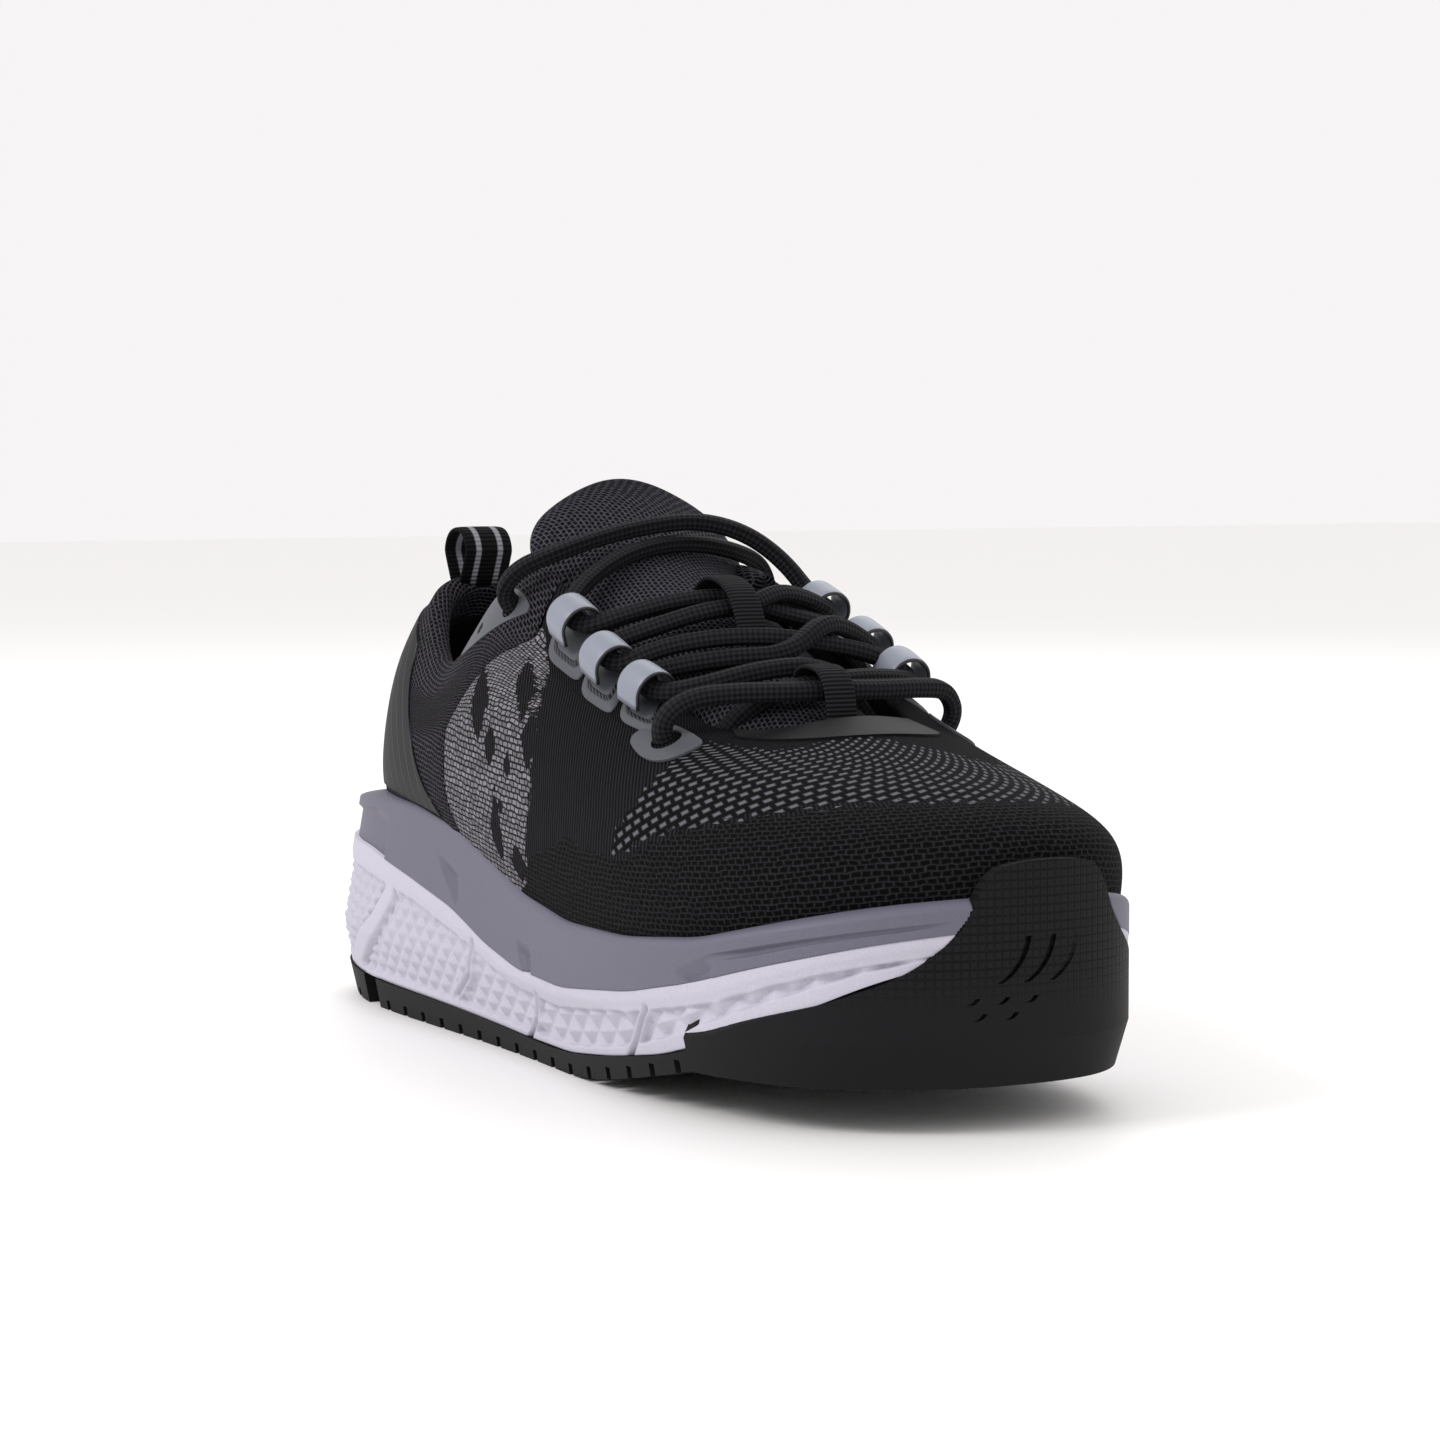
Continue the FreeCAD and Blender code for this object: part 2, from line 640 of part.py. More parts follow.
for side, inner in (("outer", False), ("inner", True)):
    patch = leaf_panel(4.7, 6.35, lambda s: 0.92 - 0.02 * s, 0.062, inner)
    holes = [round_hole(mirrored(u, inner), v, size(alias))
             for (u, v), alias in ((TOP_EYELET, "eyelet_hole"), (SPARE_EYELET, "spare_hole"))]
    keep(feature(f"top_eyelet_{side}", patch.cut(holes)), f"top_eyelet_{side}")
    patch = leaf_panel(8.75, 9.75, lambda s: 0.765 + 0.06 * s, 0.07, inner)
    hole = round_hole(mirrored(LOW_EYELET[0], inner), LOW_EYELET[1], size("low_eyelet_hole"))
    keep(feature(f"low_eyelet_{side}", patch.cut([hole])), f"low_eyelet_{side}")

# ---------------------------------------------------------------- lace loops and their tabs
LOOP_SEATS = {"outer": [(7.2, 0.92), (7.95, 0.90), (8.75, 0.90)],
              "inner": [(7.0, 0.92), (7.75, 0.90), (8.6, 0.90)]}
TAB_LIFT = 0.35


def trimmed(shape, tool):
    """Largest solid left of a shape once the tool's room is taken out of it."""
    return max(shape.cut(tool).Solids, key=lambda solid: solid.Volume)


def loop_frame(side, seat):
    """Placement of a lace loop: x along the throat edge, y across it, z away from the foot."""
    u, v = seat
    u = mirrored(u, side == "inner")
    along = (upper_point(u + 0.02, v) - upper_point(u - 0.02, v)).normalize()
    if side == "inner":
        along = along * -1
    away = surface_normal(upper_point, u, v) * 0.5 + Vector(0, 0, 0.5)
    away = (away - along * away.dot(along)).normalize()
    across = away.cross(along)
    spin = Rotation(along, across, away, "XYZ")
    return Placement(upper_point(u, v), spin)


def arch_profile():
    """Closed outline of a webbing arch seen end on, feet outwards, standing on z = 0."""
    half, wall, tall = size("loop_span") / 2, size("loop_wall"), size("loop_height")
    edges = []
    for shrink in (0, wall):
        reach, top = half - shrink, tall - shrink
        knee = top - reach
        left, right = Vector(0, -reach, knee), Vector(0, reach, knee)
        edges.append(Part.Arc(left, Vector(0, 0, top), right).toShape())
        edges.append(Part.makeLine(Vector(0, -reach, 0), left))
        edges.append(Part.makeLine(right, Vector(0, reach, 0)))
    for sign in (-1, 1):
        edges.append(Part.makeLine(Vector(0, sign * half, 0), Vector(0, sign * (half - wall), 0)))
    return Part.Face(Part.Wire(Part.__sortEdges__(edges)))


FOOT_LIFT = 1.6
for side, seats in LOOP_SEATS.items():
    arches, tabs = [], []
    for seat in seats:
        place = loop_frame(side, seat)
        width = size("loop_width")
        arch = arch_profile().extrude(Vector(width, 0, 0))
        arch.translate(Vector(-width / 2, 0, FOOT_LIFT))
        arch.Placement = place.multiply(arch.Placement)
        arches.append(trimmed(arch, knit_shape))
        tab = Part.makeBox(width + 1.5, size("loop_span") + 3, 0.8,
                           Vector(-width / 2 - 0.75, -size("loop_span") / 2 - 1.5,
                                  FOOT_LIFT - TAB_LIFT - 0.8))
        tab.Placement = place.multiply(tab.Placement)
        tabs.append(trimmed(tab, knit_shape))
    keep(feature(f"lace_loops_{side}", Part.makeCompound(arches)), f"lace_loops_{side}")
    keep(feature(f"loop_tabs_{side}", Part.makeCompound(tabs)), f"loop_tabs_{side}")

# ---------------------------------------------------------------- tongue
FACE_WALL = 1.2
TONGUE_LINING_WALL = 0.8


def tongue_layer(along_low, along_high, reach, depth_out, depth_in, columns=14):
    """Solid layer of the tongue over part of its length."""
    def place(depth):
        def point(s, t):
            return tongue_depth(reach * (2 * t - 1), along_low + (along_high - along_low) * s,
                                depth)
        return point
    return skin_solid(place(depth_out), place(depth_in), columns, 12)


FOLD_GAP = 0.006            # part of the tongue's length left open at the fold


def tongue_layers(padding):
    """Name, part of the half width, outer depth and inner depth of each layer."""
    foam_in = FACE_WALL + GAP + padding
    return [("face", 1.0, 0, FACE_WALL), ("foam", 0.93, FACE_WALL + GAP, foam_in),
            ("lining", 0.97, foam_in + GAP, foam_in + GAP + TONGUE_LINING_WALL)]


for layer, reach, depth_out, depth_in in tongue_layers(size("tongue_padding")):
    lower = tongue_layer(0.02, TONGUE_FOLD - FOLD_GAP, reach, depth_out, depth_in, 24)
    keep(feature(f"tongue_{layer}", lower), f"tongue_{layer}")
for layer, reach, depth_out, depth_in in tongue_layers(size("flap_padding")):
    flap = tongue_layer(TONGUE_FOLD + FOLD_GAP, 0.99 if layer == "face" else 0.97, reach,
                        depth_out, depth_in)
    keep(feature(f"tongue_flap_{layer}", flap), f"tongue_flap_{layer}")


def strap_body(name, points, width_alias):
    """Webbing seen side on, padded evenly to both sides of the shoe's middle plane."""
    body = doc.addObject("PartDesign::Body", name)
    sketch = body.newObject("Sketcher::SketchObject", f"{name}_sketch")
    plane = next(f for f in body.Origin.OriginFeatures if f.Role == "XZ_Plane")
    sketch.AttachmentSupport = [(plane, "")]
    sketch.MapMode = "FlatFace"
    corners = [Vector(x, z, 0) for x, z in points]
    for start, end in zip(corners, corners[1:] + corners[:1]):
        sketch.addGeometry(Part.LineSegment(start, end), False)
    pad = body.newObject("PartDesign::Pad", f"{name}_pad")
    pad.Profile = sketch
    pad.SideType = "Symmetric"
    pad.setExpression("Length", f"Dimensions.{width_alias}")
    return keep(body, name)


def band(outer, inner):
    """Outline of a strap from its outer and inner points."""
    return outer + inner[::-1]


strap_body("tongue_keeper_upper", band(
    [(11.0, 111.7), (16.5, 115.9), (21.2, 116.2), (29.8, 112.2), (35.4, 101.6)],
    [(12.4, 111.0), (17.0, 114.7), (20.9, 115.0), (28.9, 111.3), (34.2, 102.0)]), "keeper_width")
strap_body("tongue_keeper_lower", band(
    [(58.4, 88.9), (58.6, 94.9), (63.2, 97.2), (71.0, 96.1), (74.8, 91.4), (75.4, 80.2)],
    [(59.5, 88.4), (59.8, 94.2), (63.5, 96.1), (70.6, 95.0), (73.7, 91.0), (74.3, 80.5)]),
    "keeper_width")


def pull_loop_points():
    """Teardrop of webbing that stands on the collar's back edge, outer then inner points."""
    base_x, base_z = -110.0, 114.4
    reach, tall, wall = 7.5, size("pull_loop_height"), size("webbing_wall")
    turns = 12
    outlines = []
    for shrink in (0, wall):
        radius = reach - shrink
        centre = base_z + tall - reach
        arc = [(base_x - radius * math.cos(math.pi * k / turns),
                centre + radius * math.sin(math.pi * k / turns)) for k in range(turns + 1)]
        foot = 3.4 - shrink
        outlines.append([(base_x - foot, base_z), *arc, (base_x + foot, base_z)])
    return outlines


strap_body("pull_loop", band(*pull_loop_points()), "pull_loop_width")

# ---------------------------------------------------------------- lace
# Route of the one lace, from its end inside the outer wing to its end inside the inner wing.
LACE = [
    (-31, -28, 71), (-29.5, -27, 81.5), (-27, -23.5, 91.5), (-26, -23.5, 102),
    (-25.7, -37.2, 110), (-20.5, -36, 117.4), (-15, -27, 121.7), (-14, -15, 125.4),
    (-12.5, -3, 128), (-9, 9, 129.4), (-4.5, 20, 126.5), (-0.5, 29, 119.5),
    (5.2, 34.1, 110.2), (15.7, 34.1, 106.4),                    # inner loop 3
    (17.5, 25, 110.5), (21.5, 14, 112.6), (25.5, 4, 109.4), (26, -8, 108.6),
    (22.5, -21, 104.6),
    (18.7, -34, 99.9), (28.8, -33.6, 95.8),                     # outer loop 2
    (30.5, -24.5, 100), (36, -12, 102.6), (40.6, 2, 102.8), (41.5, 14, 100.8),
    (42.6, 25, 98.9),
    (42.4, 34, 95.5), (52.7, 33.4, 91.8),                       # inner loop 1
    (58, 24, 93), (61.8, 12, 93.6), (63, 0, 92.5), (60.8, -11, 90.8), (56.5, -18.3, 84.5),
    (54.5, -23.5, 76.3), (53.9, -33, 75.2),                     # under the outer low eyelet
    (55.6, -38.2, 84), (58.5, -32, 90.2), (63, -20.5, 91.3), (67.8, -9, 91.3),
    (69.5, 3, 91.6), (68.5, 15, 91.2), (66, 27, 91.2), (63.6, 36, 90.4),
    (62.3, 39.6, 83.6), (60.2, 33.8, 75.8),                     # under the inner low eyelet
    (56.5, 24.5, 76.5), (54.2, 18.3, 85), (54.5, 12, 94), (55.5, 1.5, 96.6),
    (53.5, -11, 95.4), (50.2, -22.5, 92.2),
    (45, -31.6, 90.2), (34.6, -32.5, 93.5),                     # outer loop 1
    (35, -24, 95.8), (42, -12, 98.2), (46, 3, 98.6), (41.5, 15, 106.1),
    (36.5, 25.5, 103.8),
    (34.6, 34.7, 98.2), (24.3, 34.7, 102),                      # inner loop 2
    (24, 24, 104.8), (22.3, 13.5, 107.1), (19.5, 3, 111.3), (17.8, -9, 110.9),
    (14.5, -21.5, 108),
    (11.8, -33.4, 104.1), (1.6, -33.6, 108.3),                  # outer loop 3
    (-4, -25.5, 114.5), (-7.8, -13, 120.8), (-9.6, 0, 123.6), (-11.5, 12, 123.4),
    (-15.5, 23.5, 121.4), (-20, 33.8, 118.3),
    (-20.4, 37, 109.9), (-20.3, 23.2, 104), (-21.5, 23.5, 93.5), (-24, 26.5, 83.5),
    (-26, 27.5, 73),
]
ARC_SHARE = 0.45


def tube_path(points):
    """Wire of straight runs joined by tangent arcs, and the radii of the arcs."""
    corners = [Vector(*p) for p in points]
    edges, radii, last = [], [], corners[0]
    for before, corner, after in zip(corners, corners[1:], corners[2:]):
        back, ahead = before - corner, after - corner
        setback = ARC_SHARE * min(back.Length, ahead.Length)
        half_turn = (math.pi - back.getAngle(ahead)) / 2
        radii.append(setback / math.tan(half_turn))
        back.normalize()
        ahead.normalize()
        start, end = corner + back * setback, corner + ahead * setback
        bisector = (back + ahead).normalize()
        to_centre = radii[-1] / math.cos(half_turn)
        middle = corner + bisector * (to_centre - radii[-1])
        edges += [Part.LineSegment(last, start).toShape(), Part.Arc(start, middle, end).toShape()]
        last = end
    edges.append(Part.LineSegment(last, corners[-1]).toShape())
    return Part.Wire(edges), radii


lace_path, lace_radii = tube_path(LACE)
start_run = Vector(*LACE[1]) - Vector(*LACE[0])
lace_section = Part.Wire(Part.makeCircle(size("lace_diameter") / 2, Vector(*LACE[0]), start_run))
lace_solid = lace_path.makePipeShell([lace_section], True, False)
keep(feature("lace", lace_solid), "lace")
expected = math.pi * size("lace_diameter") ** 2 / 4 * lace_path.Length
print(f"lace length {lace_path.Length:.0f} mm, volume {lace_solid.Volume:.0f} of {expected:.0f} mm3")
print("lace radii", " ".join(f"{radius:.0f}" for radius in lace_radii))

for side, tip, before in (("outer", LACE[0], LACE[1]), ("inner", LACE[-1], LACE[-2])):
    aglet = doc.addObject("Part::Cylinder", f"aglet_{side}")
    aglet.setExpression("Radius", "Dimensions.aglet_diameter / 2")
    aglet.setExpression("Height", "Dimensions.aglet_length")
    keep(aglet, f"aglet_{side}")
    heading = Vector(*tip) - Vector(*before)
    aglet.Placement = Placement(Vector(*tip), Rotation(Vector(0, 0, 1), heading))

# ---------------------------------------------------------------- checks and export
doc.recompute()
for obj in doc.Objects:
    if {"Invalid", "Error"} & set(obj.State):
        raise RuntimeError(f"{obj.Name} failed: {obj.State}")
for obj in sub_parts:
    if obj.Shape.isNull() or not obj.Shape.isValid():
        raise RuntimeError(f"{obj.Label} is null or invalid")
os.makedirs("parts", exist_ok=True)
for obj in sub_parts:
    obj.Shape.exportStep(os.path.join("parts", f"{obj.Label}.step"))
    box = obj.Shape.optimalBoundingBox(False)
    print(f"{obj.Label:20s} solids {len(obj.Shape.Solids)} volume {obj.Shape.Volume / 1000:8.2f} cm3"
          f"  x {box.XMin:.1f} {box.XMax:.1f}  y {box.YMin:.1f} {box.YMax:.1f}"
          f"  z {box.ZMin:.1f} {box.ZMax:.1f}")
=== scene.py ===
"""Right running shoe: knitted upper, padded tongue and collar, laces and a two-tone foam sole.

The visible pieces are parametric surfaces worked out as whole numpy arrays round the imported
frame. +X is the toe, +Z is up and -Y is the outer side of the foot. Sizes in the named tables
are millimetres; meshes are built in metres.
"""

import logging
import math
from dataclasses import dataclass, field
from enum import Enum

import bpy
import numpy as np
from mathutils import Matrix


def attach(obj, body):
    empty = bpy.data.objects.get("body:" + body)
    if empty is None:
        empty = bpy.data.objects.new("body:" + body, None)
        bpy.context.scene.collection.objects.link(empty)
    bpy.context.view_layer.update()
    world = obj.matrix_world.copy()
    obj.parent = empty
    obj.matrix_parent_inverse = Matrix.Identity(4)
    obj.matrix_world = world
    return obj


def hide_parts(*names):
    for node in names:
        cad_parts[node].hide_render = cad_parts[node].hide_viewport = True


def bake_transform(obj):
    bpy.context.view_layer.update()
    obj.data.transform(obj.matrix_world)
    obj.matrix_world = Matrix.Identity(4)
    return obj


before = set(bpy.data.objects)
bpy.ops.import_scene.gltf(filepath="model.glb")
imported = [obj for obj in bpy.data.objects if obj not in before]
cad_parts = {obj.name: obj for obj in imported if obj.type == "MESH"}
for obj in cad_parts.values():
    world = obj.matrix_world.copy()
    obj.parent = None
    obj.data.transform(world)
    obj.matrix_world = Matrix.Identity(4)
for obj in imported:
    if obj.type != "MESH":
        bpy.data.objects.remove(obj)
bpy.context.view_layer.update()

logging.basicConfig(level=logging.INFO, format="%(message)s")
log = logging.getLogger("running_shoe")

Array = np.ndarray
MM = 0.001
ACROSS = np.array([0.0, 1.0, 0.0])

# ---------------------------------------------------------------- named curves of the shoe
# Sole outline, heel round the outer side to the toe and back along the inner side:
# x, y, how far the rim stands in from the widest line, how far the ground edge does.
OUTLINE = np.array([
    (-150, 0, 7, 5), (-146, -21, 7, 5), (-128, -37, 7, 5), (-95, -43, 6, 4), (-50, -44, 4, 3),
    (0, -47, 2, 3), (45, -54, 1, 3), (82, -57, 0, 4), (112, -55, 0, 5), (136, -45, 0, 6),
    (150, -23, 0, 6), (153, 5, 0, 6), (148, 30, 0, 6), (127, 48, 0, 6), (96, 57, 0, 5),
    (65, 55, 0, 4), (30, 46, 1, 3), (-10, 38, 3, 3), (-50, 37, 5, 3), (-95, 40, 6, 4),
    (-128, 36, 7, 5), (-146, 21, 7, 5)], float)
SOLE_LENGTH, SOLE_WIDTH = 300.0, 109.0
FLARE_HEIGHT, FORM_HEIGHT = 20.0, 60.0

# Side-view lines, x and z, heel to toe.
RIM_LINE = np.array([(-155, 52), (-112, 55), (-75, 54.5), (-48, 52), (-23, 45.5), (1, 38.5),
                     (30, 35), (66, 35.5), (98, 38.5), (128, 45), (155, 51)], float)
PARTING_LINE = np.array([(-155, 44), (-106, 42), (-75, 37.5), (-44, 32), (-21, 25.5), (0, 21.8),
                         (30, 21), (70, 25), (100, 30.5), (130, 38.5), (155, 46)], float)
RUBBER_LINE = np.array([(-155, 13), (-130, 9.5), (-108, 8), (-60, 7), (0, 5.2), (30, 5.4),
                        (56, 8.2), (82, 12), (110, 19), (132, 28), (155, 42)], float)
FLOOR_LINE = np.array([(-155, 33), (-100, 33), (-60, 32), (-20, 29), (15, 25), (50, 22.5),
                       (85, 22.8), (115, 25.5), (155, 33)], float)

# Side-view lines of the cushion's cut pattern: foot of the smooth top band, floor of the
# pyramids, the slanted rib and the two curved grooves that part the panels.
BAND_FOOT = np.array([(-155, 38), (-110, 35.9), (-73, 31.8), (-33, 24.2), (-5, 17.4), (25, 15.9),
                      (72, 20.9), (104, 26.4), (129, 34.2), (155, 42)], float)
PYRAMID_FOOT = np.array([(-155, 14.5), (-108, 9.4), (-60, 8.4), (0, 6.4), (30, 6.6), (60, 10.5),
                         (80, 14.5), (93, 18), (112, 24.4), (129, 30.6), (155, 42)], float)
HEEL_RIB = np.array([(-115, 11.2), (-96, 22.4), (-87, 31.1)], float)
PANEL_GROOVES = (np.array([(-44, 9.6), (-34, 16.1), (-30, 25)], float),
                 np.array([(1, 4.2), (8, 10.2), (11, 16.5)], float),
                 np.array([(66, 9), (71, 14), (78, 22)], float))

# Side-view tops of the cradle's raised panels. Each falls to the parting line at its front.
PANEL_TOPS = (np.array([(-92, 50.1), (-77, 49.9), (-60, 47.6), (-51, 40.8), (-38, 31)], float),
              np.array([(-41, 43.2), (-27, 41.6), (-14, 38.5), (-4, 32.1), (6, 20.5)], float),
              np.array([(9, 30.8), (26, 29.9), (46, 30.1), (72, 32), (89, 33.2), (98, 28)], float),
              np.array([(105, 35.4), (118, 37.9), (129, 40.8), (150, 46)], float))

# Side-view line of the foot bed's top along its middle.
BED_TOP = np.array([(-129, 39.4), (-80, 39.0), (-40, 37.1), (0, 33.4), (40, 29.2), (80, 28.8),
                    (115, 31.4), (141, 38.6)], float)

# Front-view line of the toe bumper, y and z, and how far back it reaches.
BUMPER_FRONT = np.array([(-56, 11), (-54.4, 15), (-52.8, 19.5), (-50, 23.5), (-41.3, 28.5),
                         (-34.5, 31.5), (-25.6, 36.1), (-18.8, 41.1), (-13.5, 47.4),
                         (-11, 52.6), (-7.5, 57), (-1, 58.8), (14, 58.8), (20.5, 57),
                         (24, 52.6), (26.5, 47.4), (32, 41.1), (39, 36.1), (46, 31),
                         (51.5, 25.5), (54, 19.5), (54.8, 15), (56, 11)], float)
BUMPER_BACK = 95.0

# Knit zones. Front edge of the melange panel, station against height; its dark diamonds, each
# centre station and height, half length in stations and half height; and the dashes' edges and
# the mesh's top edge, height against station.
MELANGE_EDGE = np.array([(0.2, 6.3), (0.32, 6.68), (0.42, 6.8), (0.57, 6.94), (0.8, 6.95),
                         (0.88, 6.7)], float)
DIAMONDS = ((5.66, 0.70, 0.24, 0.085), (5.98, 0.62, 0.15, 0.045), (6.62, 0.745, 0.20, 0.07),
            (6.84, 0.66, 0.18, 0.06), (6.40, 0.595, 0.10, 0.025), (6.11, 0.44, 0.15, 0.12),
            (6.56, 0.37, 0.20, 0.075), (7.63, 0.74, 0.14, 0.04), (7.49, 0.68, 0.15, 0.035),
            (7.30, 0.565, 0.12, 0.03), (6.25, 0.515, 0.07, 0.02))
DASH_TOP = np.array([(8.8, 0.55), (9.15, 0.65), (9.71, 0.84), (11, 0.86), (12.04, 0.93),
                     (13.5, 0.86), (14.5, 0.78), (16, 0.75), (17.4, 0.55)], float)
MESH_TOP = np.array([(4, 0.2), (6.3, 0.28), (7, 0.43), (7.8, 0.5), (8.8, 0.47), (9.4, 0.53),
                     (10.4, 0.57), (11.6, 0.61), (13, 0.6), (15, 0.58), (17.4, 0.52),
                     (18.5, 0.48), (20, 0.3), (22, 0.2)], float)

# Stations round the upper, heel - outer side - toe - inner side. Each row gives the feather
# line x, y; the bulge over the rim and its height; the shoulder x, y, z; the top line x, y, z.
UPPER = np.array([
    (-136, 0, 2, 62, -132, 0, 92, -116, 0, 113), (-128, -17, 2, 62, -124, -17, 92, -111, -14, 110),
    (-111, -28, 2, 62, -107, -28, 90, -98, -22, 102), (-88, -33, 3, 60, -85, -34, 82, -82, -29, 92),
    (-62, -36, 4, 58, -62, -39, 79, -63, -33, 89), (-40, -39, 5, 56, -42, -42, 90, -48, -31, 103),
    (-14, -42, 5, 54, -21, -42, 99, -32, -28, 121), (14, -45, 5, 54, 5, -42, 90, 0, -27, 111),
    (42, -49, 5, 54, 28, -42, 84, 20, -26, 99), (72, -52, 5, 56, 52, -40, 80, 37, -25, 89),
    (102, -50, 4, 60, 80, -34, 79, 56, -23, 82), (128, -40, 3, 64, 100, -25, 78, 70, -17, 82),
    (143, -21, 2, 66, 115, -11, 76, 79, -8, 85), (148, 4, 1, 68, 118, 5, 75, 82, 2, 86),
    (142, 28, 3, 66, 112, 19, 74, 81, 11, 85), (124, 45, 4, 60, 101, 30, 75, 76, 18, 84),
    (96, 51, 4, 58, 82, 38, 77, 66, 23, 84), (64, 49, 5, 56, 60, 42, 81, 50, 26, 90),
    (32, 42, 5, 54, 35, 42, 86, 34, 27, 99), (2, 36, 4, 54, 8, 40, 92, 12, 28, 110),
    (-24, 33, 3, 56, -18, 39, 99, -24, 29, 121), (-46, 33, 4, 58, -42, 40, 90, -48, 31, 104),
    (-66, 34, 4, 60, -63, 38, 79, -64, 33, 90), (-90, 31, 3, 60, -87, 33, 82, -82, 29, 93),
    (-111, 27, 2, 62, -107, 27, 90, -98, 22, 102), (-128, 17, 2, 62, -124, 17, 92, -111, 14, 110),
], float)
STATIONS = len(UPPER)

# Tongue stations, front to top: x, y and z of the crown, half width, fall of the edges.
TONGUE = np.array([(94, 0, 72, 14, 4), (76, 0, 81, 18, 5), (54, 0, 91.5, 22, 7), (29, 0, 103.5, 25, 9),
                   (5, 0.5, 113.5, 26, 10), (-14, 1, 122, 27, 10), (-26, 2, 131, 30, 9),
                   (-33, 2, 137.5, 26, 6), (-36, 2, 140.5, 11, 3)], float)

# Route of the one lace, from its end inside the outer wing to its end inside the inner wing.
LACE = [
    (-31, -28, 71), (-29.5, -27, 81.5), (-27, -23.5, 91.5), (-26, -23.5, 102),
    (-25.7, -37.2, 110), (-20.5, -36, 117.4), (-15, -27, 121.7), (-14, -15, 125.4),
    (-12.5, -3, 128), (-9, 9, 129.4), (-4.5, 20, 126.5), (-0.5, 29, 119.5),
    (5.2, 34.1, 110.2), (15.7, 34.1, 106.4),                    # inner loop 3
    (17.5, 25, 110.5), (21.5, 14, 112.6), (25.5, 4, 109.4), (26, -8, 108.6),
    (22.5, -21, 104.6),
    (18.7, -34, 99.9), (28.8, -33.6, 95.8),                     # outer loop 2
    (30.5, -24.5, 100), (36, -12, 102.6), (40.6, 2, 102.8), (41.5, 14, 100.8),
    (42.6, 25, 98.9),
    (42.4, 34, 95.5), (52.7, 33.4, 91.8),                       # inner loop 1
    (58, 24, 93), (61.8, 12, 93.6), (63, 0, 92.5), (60.8, -11, 90.8), (56.5, -18.3, 84.5),
    (54.5, -23.5, 76.3), (53.9, -33, 75.2),                     # under the outer low eyelet
    (55.6, -38.2, 84), (58.5, -32, 90.2), (63, -20.5, 91.3), (67.8, -9, 91.3),
    (69.5, 3, 91.6), (68.5, 15, 91.2), (66, 27, 91.2), (63.6, 36, 90.4),
    (62.3, 39.6, 83.6), (60.2, 33.8, 75.8),                     # under the inner low eyelet
    (56.5, 24.5, 76.5), (54.2, 18.3, 85), (54.5, 12, 94), (55.5, 1.5, 96.6),
    (53.5, -11, 95.4), (50.2, -22.5, 92.2),
    (45, -31.6, 90.2), (34.6, -32.5, 93.5),                     # outer loop 1
    (35, -24, 95.8), (42, -12, 98.2), (46, 3, 98.6), (41.5, 15, 106.1),
    (36.5, 25.5, 103.8),
    (34.6, 34.7, 98.2), (24.3, 34.7, 102),                      # inner loop 2
    (24, 24, 104.8), (22.3, 13.5, 107.1), (19.5, 3, 111.3), (17.8, -9, 110.9),
    (14.5, -21.5, 108),
    (11.8, -33.4, 104.1), (1.6, -33.6, 108.3),                  # outer loop 3
    (-4, -25.5, 114.5), (-7.8, -13, 120.8), (-9.6, 0, 123.6), (-11.5, 12, 123.4),
    (-15.5, 23.5, 121.4), (-20, 33.8, 118.3),
    (-20.4, 37, 109.9), (-20.3, 23.2, 104), (-21.5, 23.5, 93.5), (-24, 26.5, 83.5),
    (-26, 27.5, 73),
]


# ---------------------------------------------------------------- curve and surface helpers
def smooth_step(low: float, high: float, value: Array) -> Array:
    """S-curve: 0 below low, 1 above high, 3f^2 - 2f^3 between, f being the part of the way."""
    f = np.clip((np.asarray(value, float) - low) / (high - low), 0, 1)
    return f * f * (3 - 2 * f)


def spline_weights(f: Array) -> Array:
    """Weights of the four poles of a uniform cubic B-spline at f within a span.

    Args:
        f: part of the way along the span, any shape.

    Returns:
        The weights, with the four poles as the first axis.
    """
    return np.stack([(1 - f) ** 3, 3 * f ** 3 - 6 * f * f + 4, -3 * f ** 3 + 3 * f * f + 3 * f + 1,
                     f ** 3]) / 6


def closed_spline(rows: Array, t: Array) -> Array:
    """Closed uniform cubic B-spline over rows, at t counted in rows.

    Args:
        rows: (n, c) poles.
        t: position counted in rows, of any shape.

    Returns:
        Points, with the c coordinates last.
    """
    span = np.floor(t).astype(int)
    weights = spline_weights(t - span)
    poles = np.stack([rows[(span + k - 1) % len(rows)] for k in range(4)])
    return np.einsum("k...,k...c->...c", weights, poles)


def open_spline(rows: Array, t: Array) -> Array:
    """Open uniform cubic B-spline, t from 0 to 1, with phantom rows 2P0 - P1 at both ends.

    Args:
        rows: (n, c) poles.
        t: position from 0 at the first row to 1 at the last.

    Returns:
        Points, with the c coordinates last.
    """
    padded = np.concatenate([[2 * rows[0] - rows[1]], rows, [2 * rows[-1] - rows[-2]]])
    position = np.clip(t, 0, 1) * (len(rows) - 1)
    span = np.minimum(position.astype(int), len(rows) - 2)
    weights = spline_weights(position - span)
    poles = np.stack([padded[span + k] for k in range(4)])
    return np.einsum("k...,k...c->...c", weights, poles)


def inset_points(points: Array, insets: Array) -> Array:
    """Closed outline moved in along its own normals: the chord of each point's neighbours,
    turned a quarter turn and scaled by the point's inset.

    Args:
        points: (n, 2) outline.
        insets: distance inwards at each point.

    Returns:
        The (n, 2) outline moved in.
    """
    run = np.roll(points, -1, 0) - np.roll(points, 1, 0)
    run /= np.linalg.norm(run, axis=1, keepdims=True)
    return points + np.stack([-run[:, 1], run[:, 0]], 1) * np.asarray(insets)[:, None]


def height_at(line: Array, x: Array) -> Array:
    """Height of a side-view line at x."""
    return np.interp(x, line[:, 0], line[:, 1])


